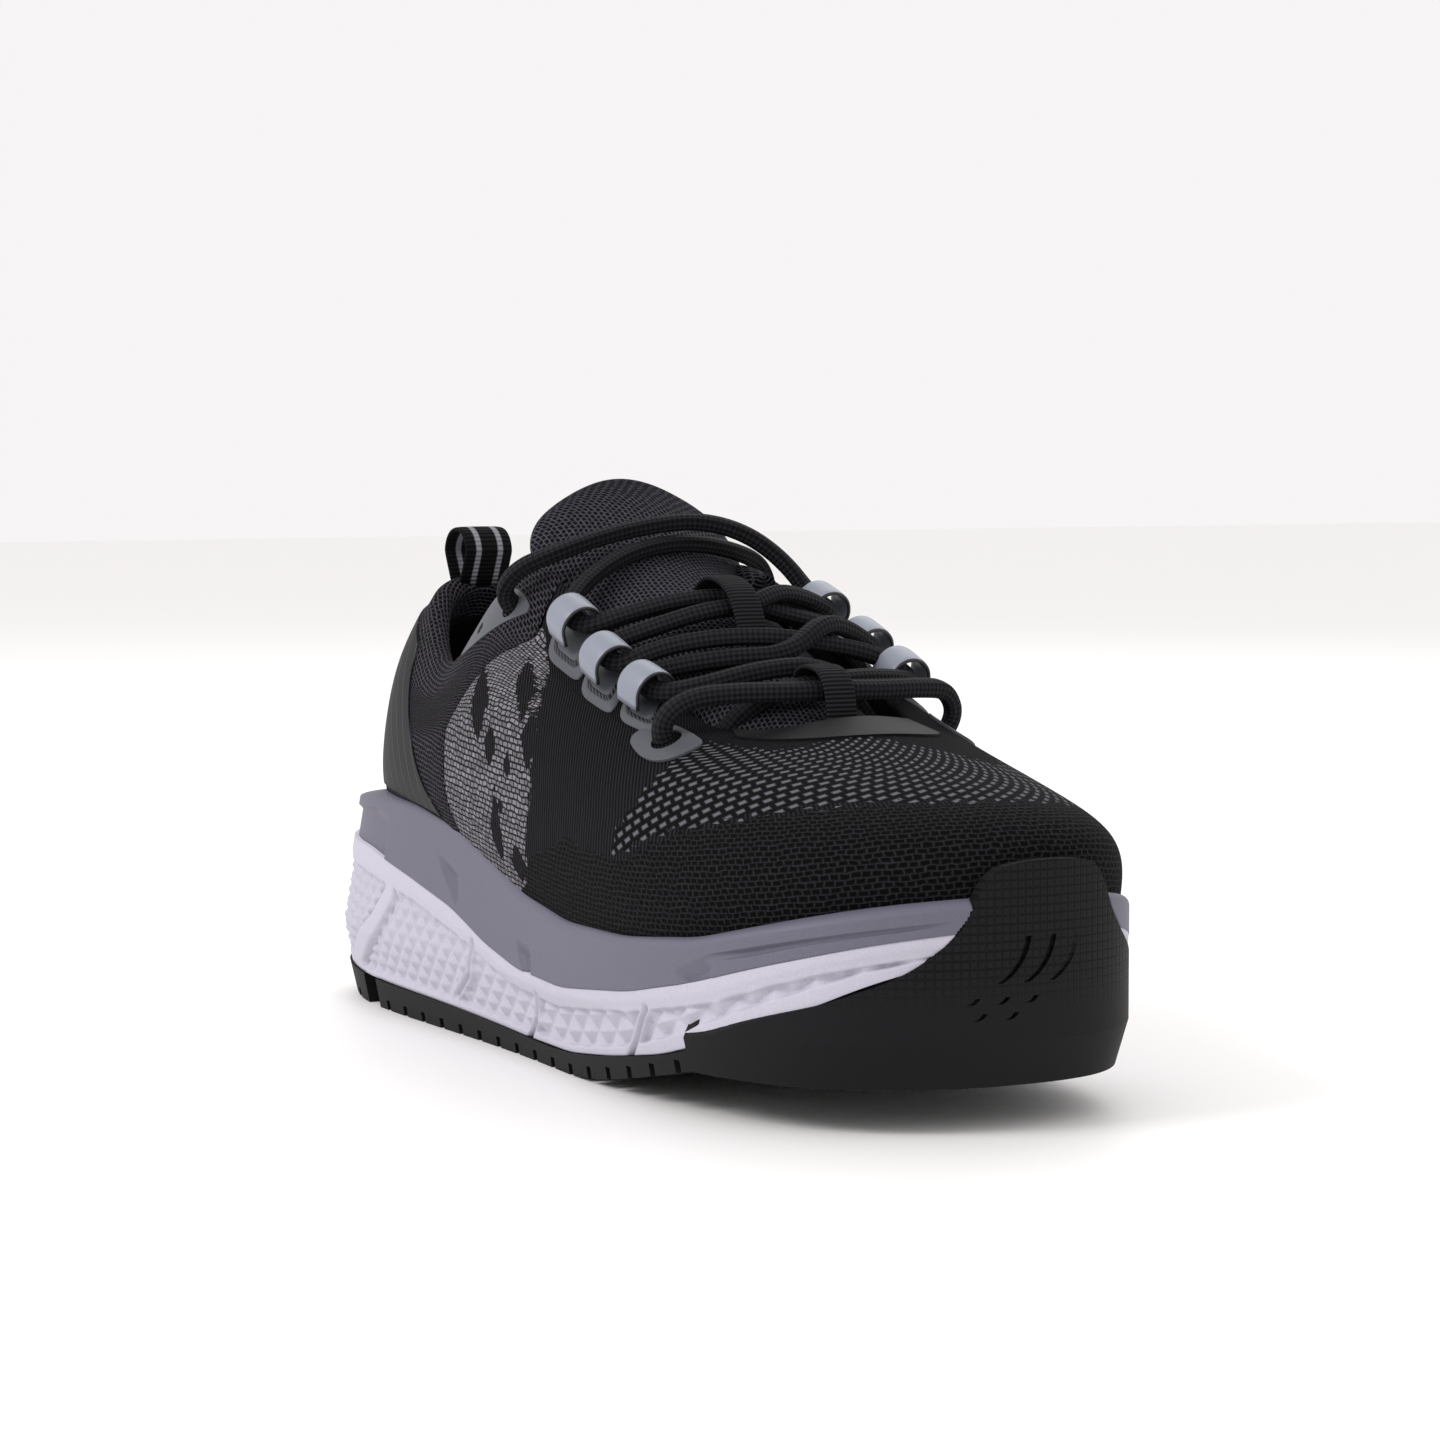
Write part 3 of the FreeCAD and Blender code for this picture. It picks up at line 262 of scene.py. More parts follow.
def line_distance(x: Array, z: Array, line: Array) -> Array:
    """Distance from side-view points to a line of straight runs: the least over the runs of
    the distance to the nearest point of each.

    Args:
        x: x of the points, of any shape.
        z: z of the points, of the same shape.
        line: (n, 2) corners of the line.

    Returns:
        The distances, in millimetres.
    """
    nearest = np.full(np.shape(x), 1e3)
    for (x0, z0), (x1, z1) in zip(line, line[1:]):
        run = np.array([x1 - x0, z1 - z0])
        f = np.clip(((x - x0) * run[0] + (z - z0) * run[1]) / (run @ run), 0, 1)
        nearest = np.minimum(nearest, np.hypot(x - x0 - f * run[0], z - z0 - f * run[1]))
    return nearest


def smooth_ring(values: Array, width: int) -> Array:
    """Moving average round a closed ring of values."""
    wrapped = np.concatenate([values[-width:], values, values[:width]])
    return np.convolve(wrapped, np.ones(2 * width + 1) / (2 * width + 1), "valid")


def unit(vectors: Array) -> Array:
    """Vectors scaled to length 1."""
    return vectors / np.maximum(np.linalg.norm(vectors, axis=-1, keepdims=True), 1e-9)


def upper_net() -> Array:
    """Control net of the upper: feather, rim, bulge, shoulder and top line at each station.

    Returns:
        (stations, 5, 3) poles in millimetres.
    """
    feather = UPPER[:, :2]
    bulge = inset_points(feather, -UPPER[:, 2])
    rows = [np.column_stack([feather, height_at(FLOOR_LINE, feather[:, 0])]),
            np.column_stack([feather, height_at(RIM_LINE, feather[:, 0])]),
            np.column_stack([bulge, UPPER[:, 3]]), UPPER[:, 4:7], UPPER[:, 7:10]]
    return np.stack(rows, 1)


NET = upper_net()


def upper_point(u: Array, v: Array) -> Array:
    """Outer surface of the upper, a B-spline net closed along u and open along v.

    Args:
        u: station counted from the heel round the outer side.
        v: 0 at the feather line to 1 at the top line.

    Returns:
        Points in millimetres, with x, y and z last.
    """
    u, v = np.broadcast_arrays(np.asarray(u, float), np.asarray(v, float))
    padded = np.concatenate([2 * NET[:, :1] - NET[:, 1:2], NET, 2 * NET[:, -1:] - NET[:, -2:-1]], 1)
    position = np.clip(v, 0, 1) * (NET.shape[1] - 1)
    row = np.minimum(position.astype(int), NET.shape[1] - 2)
    across = spline_weights(position - row)
    span = np.floor(u).astype(int)
    along = spline_weights(u - span)
    point = np.zeros(u.shape + (3,))
    for i in range(4):
        for j in range(4):
            pole = padded[(span + i - 1) % STATIONS, row + j]
            point += (along[i] * across[j])[..., None] * pole
    return point


def upper_normal(u: Array, v: Array, step: float = 0.01) -> Array:
    """Outward normal of the upper: the cross product of its two central differences.

    Args:
        u: station.
        v: height from 0 to 1.
        step: half the difference in station and height.

    Returns:
        Unit vectors, with x, y and z last.
    """
    low, high = np.clip(np.asarray(v) - step, 0, 1), np.clip(np.asarray(v) + step, 0, 1)
    return unit(np.cross(upper_point(u + step, v) - upper_point(u - step, v),
                         upper_point(u, high) - upper_point(u, low)))


def upper_lift(u: Array, v: Array, lift: Array) -> Array:
    """Point a given height outside the upper's outer surface.

    Args:
        u: station.
        v: height from 0 to 1.
        lift: millimetres outwards, or inwards below 0.

    Returns:
        Points in millimetres.
    """
    u, v = np.broadcast_arrays(np.asarray(u, float), np.asarray(v, float))
    lift = np.broadcast_to(lift, u.shape)
    return upper_point(u, v) + upper_normal(u, v) * lift[..., None]


def seam_station(v: Array) -> Array:
    """Station of the seam between the collar piece and the knit, at height v."""
    return 4.65 + 1.95 * smooth_step(0.66, 0.86, v) + 0.5 * (1 - smooth_step(0.05, 0.6, v))


def grid(rows: int, columns: int) -> tuple[Array, Array]:
    """Two parameters from 0 to 1 on a grid, the first down the rows."""
    return np.meshgrid(np.linspace(0, 1, rows), np.linspace(0, 1, columns), indexing="ij")


# ---------------------------------------------------------------- mesh helpers
def grid_faces(rows: int, columns: int, wrap_rows: bool, wrap_columns: bool) -> Array:
    """Quads of a grid of points, closed in either direction when asked.

    Args:
        rows: number of rows.
        columns: number of columns.
        wrap_rows: the last row joins the first.
        wrap_columns: the last column joins the first.

    Returns:
        (n, 4) numbers of the corners.
    """
    i = np.arange(rows if wrap_rows else rows - 1)[:, None]
    j = np.arange(columns if wrap_columns else columns - 1)[None]
    right, down = (j + 1) % columns, (i + 1) % rows
    corners = [i * columns + j, down * columns + j, down * columns + right, i * columns + right]
    return np.stack(np.broadcast_arrays(*corners), -1).reshape(-1, 4)


def make_mesh(name: str, points: Array, faces: list, uv: Array | None = None,
              attributes: dict[str, Array] | None = None) -> bpy.types.Object:
    """Object at the origin from points in millimetres.

    Args:
        name: name of the object.
        points: (n, 3) points.
        faces: lists of vertex numbers.
        uv: (n, 2) surface coordinates in millimetres.
        attributes: values for each point, by name.

    Returns:
        The object, linked to the scene, with smooth faces that point outwards.
    """
    mesh = bpy.data.meshes.new(name)
    mesh.from_pydata((points * MM).tolist(), [], faces)
    if uv is not None:
        layer = mesh.uv_layers.new(name="weave")
        corner = np.zeros(len(mesh.loops), np.int32)
        mesh.loops.foreach_get("vertex_index", corner)
        layer.data.foreach_set("uv", uv[corner].astype(np.float32).ravel())
    for key, values in (attributes or {}).items():
        mesh.attributes.new(key, "FLOAT", "POINT").data.foreach_set(
            "value", np.asarray(values, np.float32).ravel())
    mesh.shade_smooth()
    mesh.validate()
    obj = bpy.data.objects.new(name, mesh)
    bpy.context.scene.collection.objects.link(obj)
    return obj


def signed_volume(points: Array, faces: Array) -> float:
    """Volume inside quads: the sum of the tetrahedra that they make with the origin.

    Args:
        points: (n, 3) points.
        faces: (m, 4) quads.

    Returns:
        The volume, above 0 when the quads point outwards.
    """
    a, b, c, d = (points[faces[:, k]] for k in range(4))
    return float((np.einsum("ij,ij->i", a, np.cross(b, c)) +
                  np.einsum("ij,ij->i", a, np.cross(c, d))).sum() / 6)


def arc_coordinates(points: Array) -> Array:
    """Distance along the rows and along the columns of a grid of points, in millimetres.
    Each row or column uses the mean step, so the weave's lines stay straight.

    Args:
        points: (rows, columns, 3) grid.

    Returns:
        (rows, columns, 2) distances.
    """
    down = np.linalg.norm(np.diff(points, axis=0), axis=2)
    along = np.linalg.norm(np.diff(points, axis=1), axis=2)
    a = np.concatenate([[0], np.cumsum(down.mean(1))])
    b = np.concatenate([np.zeros((len(points), 1)), np.cumsum(along, 1)], 1)
    return np.stack(np.broadcast_arrays(a[:, None], b), -1)


def ring_solid(name: str, points: Array, closed: bool = False,
               attributes: dict[str, Array] | None = None) -> bpy.types.Object:
    """Solid whose sections are the rows of a grid, each a closed loop of points.

    Args:
        name: name of the object.
        points: (sections, loop, 3) grid.
        closed: the last section joins the first, otherwise both ends are capped.
        attributes: values for each point, by name.

    Returns:
        The closed object, turned so that its faces point outwards.
    """
    rows, columns = points.shape[:2]
    flat = points.reshape(-1, 3)
    faces = grid_faces(rows, columns, closed, True)
    outwards = signed_volume(flat - flat.mean(0), faces) > 0
    quads = (faces if outwards else faces[:, ::-1]).tolist()
    if not closed:
        first, last = list(range(columns)), list(range((rows - 1) * columns, rows * columns))
        quads += [first, last[::-1]] if outwards else [first[::-1], last]
    uv = arc_coordinates(points).reshape(-1, 2)
    return make_mesh(name, flat, quads, uv, attributes)


def slab_solid(name: str, outer: Array, inner: Array,
               attributes: dict[str, Array] | None = None) -> bpy.types.Object:
    """Closed sheet between two grids of the same size. Each section runs along the outer
    face and back along the inner one.

    Args:
        name: name of the object.
        outer: (rows, columns, 3) outer face.
        inner: inner face on the same grid.
        attributes: values on the grid, by name.

    Returns:
        The closed object.
    """
    loop = np.concatenate([outer, inner[:, ::-1]], 1)
    doubled = {key: np.concatenate([values, values[:, ::-1]], 1)
               for key, values in (attributes or {}).items()}
    return ring_solid(name, loop, False, doubled)


def rounded_section(width: float, height: float, count: int = 16, power: float = 4.0) -> Array:
    """Superellipse |x/a|^n + |y/b|^n = 1 as a closed loop, round-cornered like cut webbing.

    Args:
        width: full width, 2a.
        height: full height, 2b.
        count: number of points.
        power: n, which squares the shape as it grows.

    Returns:
        (count, 2) points.
    """
    angle = np.linspace(0, 2 * math.pi, count, endpoint=False)
    c, s = np.cos(angle), np.sin(angle)
    shape = (np.abs(c) ** power + np.abs(s) ** power) ** (-1 / power)
    return np.stack([c * shape * width / 2, s * shape * height / 2], 1)


def strap_solid(name: str, path: Array, side: Array, width: float,
                thickness: float) -> bpy.types.Object:
    """Webbing: a flat rounded section carried along a path, its width along side and its
    thickness along the cross product of the path's direction and side.

    Args:
        name: name of the object.
        path: (n, 3) centre line.
        side: direction of the width, one or one a point.
        width: width of the webbing.
        thickness: thickness of the webbing.

    Returns:
        The closed object, with its distance across as an attribute.
    """
    tangent = unit(np.gradient(path, axis=0))
    side = np.broadcast_to(side, path.shape)
    normal = unit(np.cross(tangent, side))
    section = rounded_section(width, thickness, 28)
    points = (path[:, None] + side[:, None] * section[None, :, :1]
              + normal[:, None] * section[None, :, 1:])
    across = np.broadcast_to(section[:, 0], points.shape[:2])
    return ring_solid(name, points, False, {"across": across})


def join(name: str, parts: list[bpy.types.Object]) -> bpy.types.Object:
    """One object from several, for the repeats of one piece.

    Args:
        name: name of the joined object.
        parts: the objects, of which the first stays.

    Returns:
        The joined object.
    """
    with bpy.context.temp_override(active_object=parts[0], selected_editable_objects=parts):
        bpy.ops.object.join()
    parts[0].name = name
    return parts[0]


# ---------------------------------------------------------------- finishes
# Brightness of a finish in the pits and on the tops of its grain.
GRAIN_SHADE = (0.86, 1.12)


def linear(code: str, alpha: float = 1.0) -> tuple[float, float, float, float]:
    """Linear colour of an sRGB hex value.

    Args:
        code: colour as #rrggbb.
        alpha: opacity.

    Returns:
        Red, green, blue and alpha.
    """
    channels = [int(code[k:k + 2], 16) / 255 for k in (1, 3, 5)]
    red, green, blue = (c / 12.92 if c <= 0.04045 else ((c + 0.055) / 1.055) ** 2.4
                        for c in channels)
    return red, green, blue, alpha


def add_node(tree: bpy.types.NodeTree, kind: str, inputs: dict | None = None,
             **settings: object) -> bpy.types.Node:
    """Adds a node.

    Args:
        tree: the material's node tree.
        kind: node type without its ShaderNode prefix.
        inputs: socket name or number to a value, or to an output socket to link.
        settings: properties of the node itself.

    Returns:
        The node.
    """
    node = tree.nodes.new(f"ShaderNode{kind}")
    for key, value in settings.items():
        setattr(node, key, value)
    for key, value in (inputs or {}).items():
        if isinstance(value, bpy.types.NodeSocket):
            tree.links.new(value, node.inputs[key])
        else:
            node.inputs[key].default_value = value
    return node


@dataclass(frozen=True)
class Finish:
    """Base of every finish: a plain satin surface with a fine grain."""
    name: str
    colour: str
    roughness: float = 0.8
    specular: float = 0.5
    grain_mm: float = 0.8
    relief_mm: float = 0.05

    def material(self) -> bpy.types.Material:
        """The finished material."""
        material = bpy.data.materials.new(self.name)
        material.use_nodes = True
        tree = material.node_tree
        shader = tree.nodes["Principled BSDF"]
        shader.inputs["Roughness"].default_value = self.roughness
        shader.inputs["Specular IOR Level"].default_value = self.specular
        material.diffuse_color = linear(self.colour)
        colour, height = self.pattern(tree)
        tree.links.new(colour, shader.inputs["Base Color"])
        bump = add_node(tree, "Bump", {"Strength": 1.0, "Distance": self.relief_mm * MM,
                                       "Height": height})
        tree.links.new(bump.outputs["Normal"], shader.inputs["Normal"])
        return material

    def place(self, tree: bpy.types.NodeTree) -> bpy.types.NodeSocket:
        """Object coordinates in millimetres.

        Args:
            tree: the material's node tree.

        Returns:
            The scaled coordinates.
        """
        source = add_node(tree, "TexCoord")
        scale = add_node(tree, "VectorMath", {0: source.outputs["Object"], "Scale": 1 / MM},
                         operation="SCALE")
        return scale.outputs["Vector"]

    def surface(self, tree: bpy.types.NodeTree) -> bpy.types.NodeSocket:
        """Coordinates along the piece's own surface, in millimetres."""
        return add_node(tree, "UVMap", uv_map="weave").outputs["UV"]

    def tint(self, tree: bpy.types.NodeTree, fac: bpy.types.NodeSocket, low: str,
             high: str) -> bpy.types.NodeSocket:
        """Colour from low at 0 to high at 1."""
        mix = add_node(tree, "Mix", {0: fac, 6: linear(low), 7: linear(high)}, data_type="RGBA")
        return mix.outputs[2]

    def noise(self, tree: bpy.types.NodeTree, vector: bpy.types.NodeSocket,
              size_mm: float) -> bpy.types.NodeSocket:
        """Soft noise whose blots are about size_mm wide."""
        node = add_node(tree, "TexNoise", {"Vector": vector, "Scale": 1 / size_mm, "Detail": 2.0})
        return node.outputs["Fac"]

    def wave(self, tree: bpy.types.NodeTree, distance: bpy.types.NodeSocket,
             length_mm: float) -> bpy.types.NodeSocket:
        """Sine of a distance, one turn for each length_mm.

        Args:
            tree: the material's node tree.
            distance: distance in millimetres.
            length_mm: length of one turn.

        Returns:
            The sine, from -1 to 1.
        """
        turns = add_node(tree, "Math", {0: distance, 1: 2 * math.pi / length_mm},
                         operation="MULTIPLY")
        return add_node(tree, "Math", {0: turns.outputs[0]}, operation="SINE").outputs[0]

    def away_from(self, tree: bpy.types.NodeTree, value: bpy.types.NodeSocket,
                  middle: float) -> bpy.types.NodeSocket:
        """Size of the difference between a value and a middle one.

        Args:
            tree: the material's node tree.
            value: the value.
            middle: the middle one.

        Returns:
            The size of the difference.
        """
        off = add_node(tree, "Math", {0: value, 1: middle}, operation="SUBTRACT")
        return add_node(tree, "Math", {0: off.outputs[0]}, operation="ABSOLUTE").outputs[0]

    def pattern(self, tree: bpy.types.NodeTree) -> tuple:
        """Colour and height: the plain colour, a little lighter on the tops of a fine grain.

        Args:
            tree: the material's node tree.

        Returns:
            Sockets of the colour and the height.
        """
        grain = self.noise(tree, self.place(tree), self.grain_mm)
        light = add_node(tree, "MapRange", {0: grain, 3: GRAIN_SHADE[0], 4: GRAIN_SHADE[1]})
        shade = add_node(tree, "HueSaturation", {"Color": linear(self.colour),
                                                 "Value": light.outputs[0]})
        return shade.outputs[0], grain


@dataclass(frozen=True)
class Mesh(Finish):
    """Open sandwich mesh: rows of small dark holes, half offset, in a net of dull thread."""
    ground: str = "#030304"
    hole_mm: float = 1.7
    row_mm: float = 1.15
    thread: float = 0.3
    sway_mm: float = 0.8
    sway_scale: float = 0.3
    fleck_mm: float = 0.7
    fleck_dark: float = 0.45

    def cells(self, tree: bpy.types.NodeTree, vector: bpy.types.NodeSocket, width: float,
              height: float, edge: float) -> bpy.types.Node:
        """Half-offset cells: Fac is 1 on the line between them, Color is random in each.

        Args:
            tree: the material's node tree.
            vector: surface coordinates in millimetres.
            width: width of a cell.
            height: height of a row.
            edge: width of the line.

        Returns:
            The node.
        """
        return add_node(tree, "TexBrick", {
            "Vector": vector, "Color1": (0, 0, 0, 1), "Color2": (1, 1, 1, 1),
            "Mortar": (0.5, 0.5, 0.5, 1), "Scale": 1.0, "Mortar Size": edge, "Mortar Smooth": 1.0,
            "Bias": 0.0, "Brick Width": width, "Row Height": height}, offset=0.5)

    def wavy(self, tree: bpy.types.NodeTree) -> bpy.types.NodeSocket:
        """Coordinates along the surface, pushed about a little, as a stretched knit is.

        Args:
            tree: the material's node tree.

        Returns:
            The pushed coordinates.
        """
        vector = self.surface(tree)
        noise = add_node(tree, "TexNoise", {"Vector": vector, "Scale": self.sway_scale,
                                          "Detail": 1.0})
        push = add_node(tree, "VectorMath", {0: noise.outputs["Color"], "Scale": self.sway_mm},
                        operation="SCALE")
        return add_node(tree, "VectorMath", {0: vector, 1: push.outputs[0]},
                        operation="ADD").outputs[0]

    def net(self, tree: bpy.types.NodeTree, vector: bpy.types.NodeSocket) -> tuple:
        """Colour and height of the net round the holes.

        Args:
            tree: the material's node tree.
            vector: surface coordinates in millimetres.

        Returns:
            Sockets of the colour and the height.
        """
        holes = self.cells(tree, vector, self.hole_mm, self.row_mm, self.thread * self.row_mm)
        fleck = self.noise(tree, vector, self.fleck_mm)
        level = add_node(tree, "MapRange", {0: fleck, 1: 0.3, 2: 0.7, 3: self.fleck_dark, 4: 1.0})
        lit = add_node(tree, "Math", {0: holes.outputs["Fac"], 1: level.outputs[0]},
                       operation="MULTIPLY")
        return self.tint(tree, lit.outputs[0], self.ground, self.colour), holes.outputs["Fac"]

    def pattern(self, tree: bpy.types.NodeTree) -> tuple:
        """The net over the whole piece.

        Args:
            tree: the material's node tree.

        Returns:
            Sockets of the colour and the height.
        """
        return self.net(tree, self.wavy(tree))


@dataclass(frozen=True)
class Knit(Mesh):
    """Engineered knit: open mesh low down, fine ribs above it, pale float stitches over the
    toes and a two-tone panel at the side. Attributes in millimetres mark the zones."""
    melange: str = "#77757a"
    dashes: str = "#5c5d63"
    rib: str = "#1c1b1e"
    gap: str = "#060607"
    melange_gap: str = "#0b0b0d"
    rib_mm: float = 1.25
    sway_mm: float = 1.2
    ragged_cell_mm: tuple[float, float, float] = (2.1, 1.5, 0.1)
    float_cell_mm: tuple[float, float, float] = (3.7, 2.6, 1.25)
    melange_cell_mm: tuple[float, float, float] = (2.3, 1.5, 0.42)
    float_slant: float = -0.55
    ragged_step_mm: float = 2.4
    zone_edge_mm: tuple[float, float] = (1.0, 1.4)

    def pattern(self, tree: bpy.types.NodeTree) -> tuple:
        """Net, ribs, float stitches and two-tone panel laid over each other in that order.

        Args:
            tree: the material's node tree.

        Returns:
            Sockets of the colour and the height.
        """
        vector = self.wavy(tree)
        ragged = self.cells(tree, vector, *self.ragged_cell_mm).outputs["Color"]
        net = self.net(tree, vector)
        above = add_node(tree, "Math", {0: 1.0, 1: self.mask(tree, "mesh", ragged)},
                         operation="SUBTRACT")
        ribbed = self.over(tree, net, self.ribs(tree), above.outputs[0])
        stitched = self.over(tree, ribbed, self.floats(tree), self.mask(tree, "dash", ragged))
        return self.over(tree, stitched, self.two_tone(tree, vector),
                         self.mask(tree, "melange", ragged))

    def mask(self, tree: bpy.types.NodeTree, zone: str,
             ragged: bpy.types.NodeSocket) -> bpy.types.NodeSocket:
        """1 inside a zone: its distance attribute, shifted by a step for each stitch.

        Args:
            tree: the material's node tree.
            zone: name of the distance attribute.
            ragged: random value of each stitch.

        Returns:
            The socket of the mask.
        """
        distance = add_node(tree, "Attribute", attribute_name=zone).outputs["Fac"]
        shifted = add_node(tree, "Math", {0: ragged, 1: self.ragged_step_mm, 2: distance},
                           operation="MULTIPLY_ADD")
        low, high = self.zone_edge_mm
        return add_node(tree, "MapRange", {0: shifted.outputs[0], 1: low, 2: high}).outputs[0]

    def over(self, tree: bpy.types.NodeTree, below: tuple, above: tuple,
             amount: bpy.types.NodeSocket) -> tuple:
        """One colour and height laid over another by an amount.

        Args:
            tree: the material's node tree.
            below: colour and height underneath.
            above: colour and height on top.
            amount: share of the top one.

        Returns:
            Sockets of the mixed colour and height.
        """
        colour = add_node(tree, "Mix", {0: amount, 6: below[0], 7: above[0]}, data_type="RGBA")
        height = add_node(tree, "Mix", {0: amount, 2: below[1], 3: above[1]}, data_type="FLOAT")
        return colour.outputs[2], height.outputs[0]

    def ribs(self, tree: bpy.types.NodeTree) -> tuple:
        """Fine ribs that follow the panel's front edge: a sine of the distance from it.

        Args:
            tree: the material's node tree.

        Returns:
            Sockets of the colour and the height.
        """
        distance = add_node(tree, "Attribute", attribute_name="rib").outputs["Fac"]
        wave = self.wave(tree, distance, self.rib_mm)
        level = add_node(tree, "MapRange", {0: wave, 1: -1.0, 2: 1.0})
        return self.tint(tree, level.outputs[0], self.ground, self.rib), level.outputs[0]

    def floats(self, tree: bpy.types.NodeTree) -> tuple:
        """Slanted pale stitches on black, in half-offset rows.

        Args:
            tree: the material's node tree.

        Returns:
            Sockets of the colour and the height.
        """
        turned = add_node(tree, "Mapping", {"Vector": self.surface(tree),
                                            "Rotation": (0, 0, self.float_slant)})
        rows = self.cells(tree, turned.outputs[0], *self.float_cell_mm)
        inside = add_node(tree, "MapRange", {0: rows.outputs["Fac"], 1: 0.6, 2: 0.15})
        return self.tint(tree, inside.outputs[0], self.gap, self.dashes), inside.outputs[0]

    def two_tone(self, tree: bpy.types.NodeTree, vector: bpy.types.NodeSocket) -> tuple:
        """Pale stitches of uneven tone with dark gaps.

        Args:
            tree: the material's node tree.
            vector: surface coordinates in millimetres.

        Returns:
            Sockets of the colour and the height.
        """
        rows = self.cells(tree, vector, *self.melange_cell_mm)
        inside = add_node(tree, "MapRange", {0: rows.outputs["Fac"], 1: 0.95, 2: 0.25})
        tone = add_node(tree, "MapRange", {0: rows.outputs["Color"], 3: 0.5, 4: 1.0})
        lit = add_node(tree, "Math", {0: inside.outputs[0], 1: tone.outputs[0]},
                       operation="MULTIPLY")
        return self.tint(tree, lit.outputs[0], self.melange_gap, self.melange), inside.outputs[0]


@dataclass(frozen=True)
class LoopTape(Finish):
    """Satin tape, painted dark along both edges as the shade where the tape turns away."""
    # Colour of the painted shade along both edges of the tape.
    edge_shade: str = "#1f1e21"
    face_mm: float = 3.9

    def pattern(self, tree: bpy.types.NodeTree) -> tuple:
        """The tape's face, and painted edge shade where the across attribute passes its half width.

        Args:
            tree: the material's node tree.

        Returns:
            Sockets of the colour and the height.
        """
        face, grain = super().pattern(tree)
        across = add_node(tree, "Attribute", attribute_name="across").outputs["Fac"]
        middle = add_node(tree, "Math", {0: across}, operation="ABSOLUTE")
        # Painted shade: the tape's colour goes dark beyond the face's half width.
        edge = add_node(tree, "MapRange", {0: middle.outputs[0], 1: self.face_mm,
                                           2: self.face_mm + 0.25})
        mix = add_node(tree, "Mix", {0: edge.outputs[0], 6: face, 7: linear(self.edge_shade)},
                       data_type="RGBA")
        return mix.outputs[2], grain


@dataclass(frozen=True)
class StitchedTab(Finish):
    """Grey film with a box of black lockstitch just inside its edge."""
    thread: str = "#060607"
    stitch_mm: float = 1.6
    seam_at: float = 0.66
    seam_edge: tuple[float, float] = (0.09, 0.05)
    stitch_edge: tuple[float, float] = (-0.75, -0.45)

    def pattern(self, tree: bpy.types.NodeTree) -> tuple:
        """Stitches where the box attribute is near the seam's value, broken by a sine of the
        two surface coordinates' sum.

        Args:
            tree: the material's node tree.

        Returns:
            Sockets of the colour and the height.
        """
        face, _ = super().pattern(tree)
        box = add_node(tree, "Attribute", attribute_name="box").outputs["Fac"]
        line = add_node(tree, "MapRange", {0: self.away_from(tree, box, self.seam_at),
                                           1: self.seam_edge[0], 2: self.seam_edge[1]})
        parts = add_node(tree, "SeparateXYZ", {0: self.surface(tree)})
        total = add_node(tree, "Math", {0: parts.outputs[0], 1: parts.outputs[1]},
                         operation="ADD")
        wave = self.wave(tree, total.outputs[0], self.stitch_mm)
        stitch = add_node(tree, "MapRange", {0: wave, 1: self.stitch_edge[0],
                                             2: self.stitch_edge[1]})
        amount = add_node(tree, "Math", {0: line.outputs[0], 1: stitch.outputs[0]},
                          operation="MULTIPLY")
        mix = add_node(tree, "Mix", {0: amount.outputs[0], 6: face, 7: linear(self.thread)},
                       data_type="RGBA")
        return mix.outputs[2], line.outputs[0]


@dataclass(frozen=True)
class HeelSheet(Finish):
    """Moulded sheet with a few thin raised lines that fan up and back."""
    line: str = "#36363a"
    spacing_mm: float = 6.5
    slope: float = 0.75
    line_edge: tuple[float, float] = (0.09, 0.03)

    def pattern(self, tree: bpy.types.NodeTree) -> tuple:
        """Lines where a slanted coordinate is half way between whole numbers of spacings.

        Args:
            tree: the material's node tree.

        Returns:
            Sockets of the colour and the height.
        """
        parts = add_node(tree, "SeparateXYZ", {0: self.place(tree)})
        slanted = add_node(tree, "Math", {0: parts.outputs[2], 1: self.slope,
                                          2: parts.outputs[0]}, operation="MULTIPLY_ADD")
        count = add_node(tree, "Math", {0: slanted.outputs[0], 1: self.spacing_mm},
                         operation="DIVIDE")
        part = add_node(tree, "Math", {0: count.outputs[0]}, operation="FRACT")
        line = add_node(tree, "MapRange", {0: self.away_from(tree, part.outputs[0], 0.5),
                                           1: self.line_edge[0], 2: self.line_edge[1]})
        return self.tint(tree, line.outputs[0], self.colour, self.line), line.outputs[0]


@dataclass(frozen=True)
class Webbing(Finish):
    """Woven tape: ribs across its length, and two pale stripes along it when asked."""
    rib_mm: float = 1.1
    stripe: str = ""
    stripe_at_mm: float = 3.2
    stripe_edge_mm: tuple[float, float] = (0.95, 0.6)
    gap: str = "#050506"

    def pattern(self, tree: bpy.types.NodeTree) -> tuple:
        """Ribs from a sine along the tape, and stripes where the across attribute says.

        Args:
            tree: the material's node tree.

        Returns:
            Sockets of the colour and the height.
        """
        along = add_node(tree, "SeparateXYZ", {0: self.surface(tree)})
        rib = self.wave(tree, along.outputs[0], self.rib_mm)
        level = add_node(tree, "MapRange", {0: rib, 1: -1.0, 2: 1.0})
        colour = self.tint(tree, level.outputs[0], self.gap, self.colour)
        if self.stripe:
            across = add_node(tree, "Attribute", attribute_name="across").outputs["Fac"]
            middle = add_node(tree, "Math", {0: across}, operation="ABSOLUTE")
            away = self.away_from(tree, middle.outputs[0], self.stripe_at_mm)
            amount = add_node(tree, "MapRange", {0: away, 1: self.stripe_edge_mm[0],
                                                 2: self.stripe_edge_mm[1]})
            mix = add_node(tree, "Mix", {0: amount.outputs[0], 6: colour, 7: linear(self.stripe)},
                           data_type="RGBA")
            colour = mix.outputs[2]
        return colour, level.outputs[0]


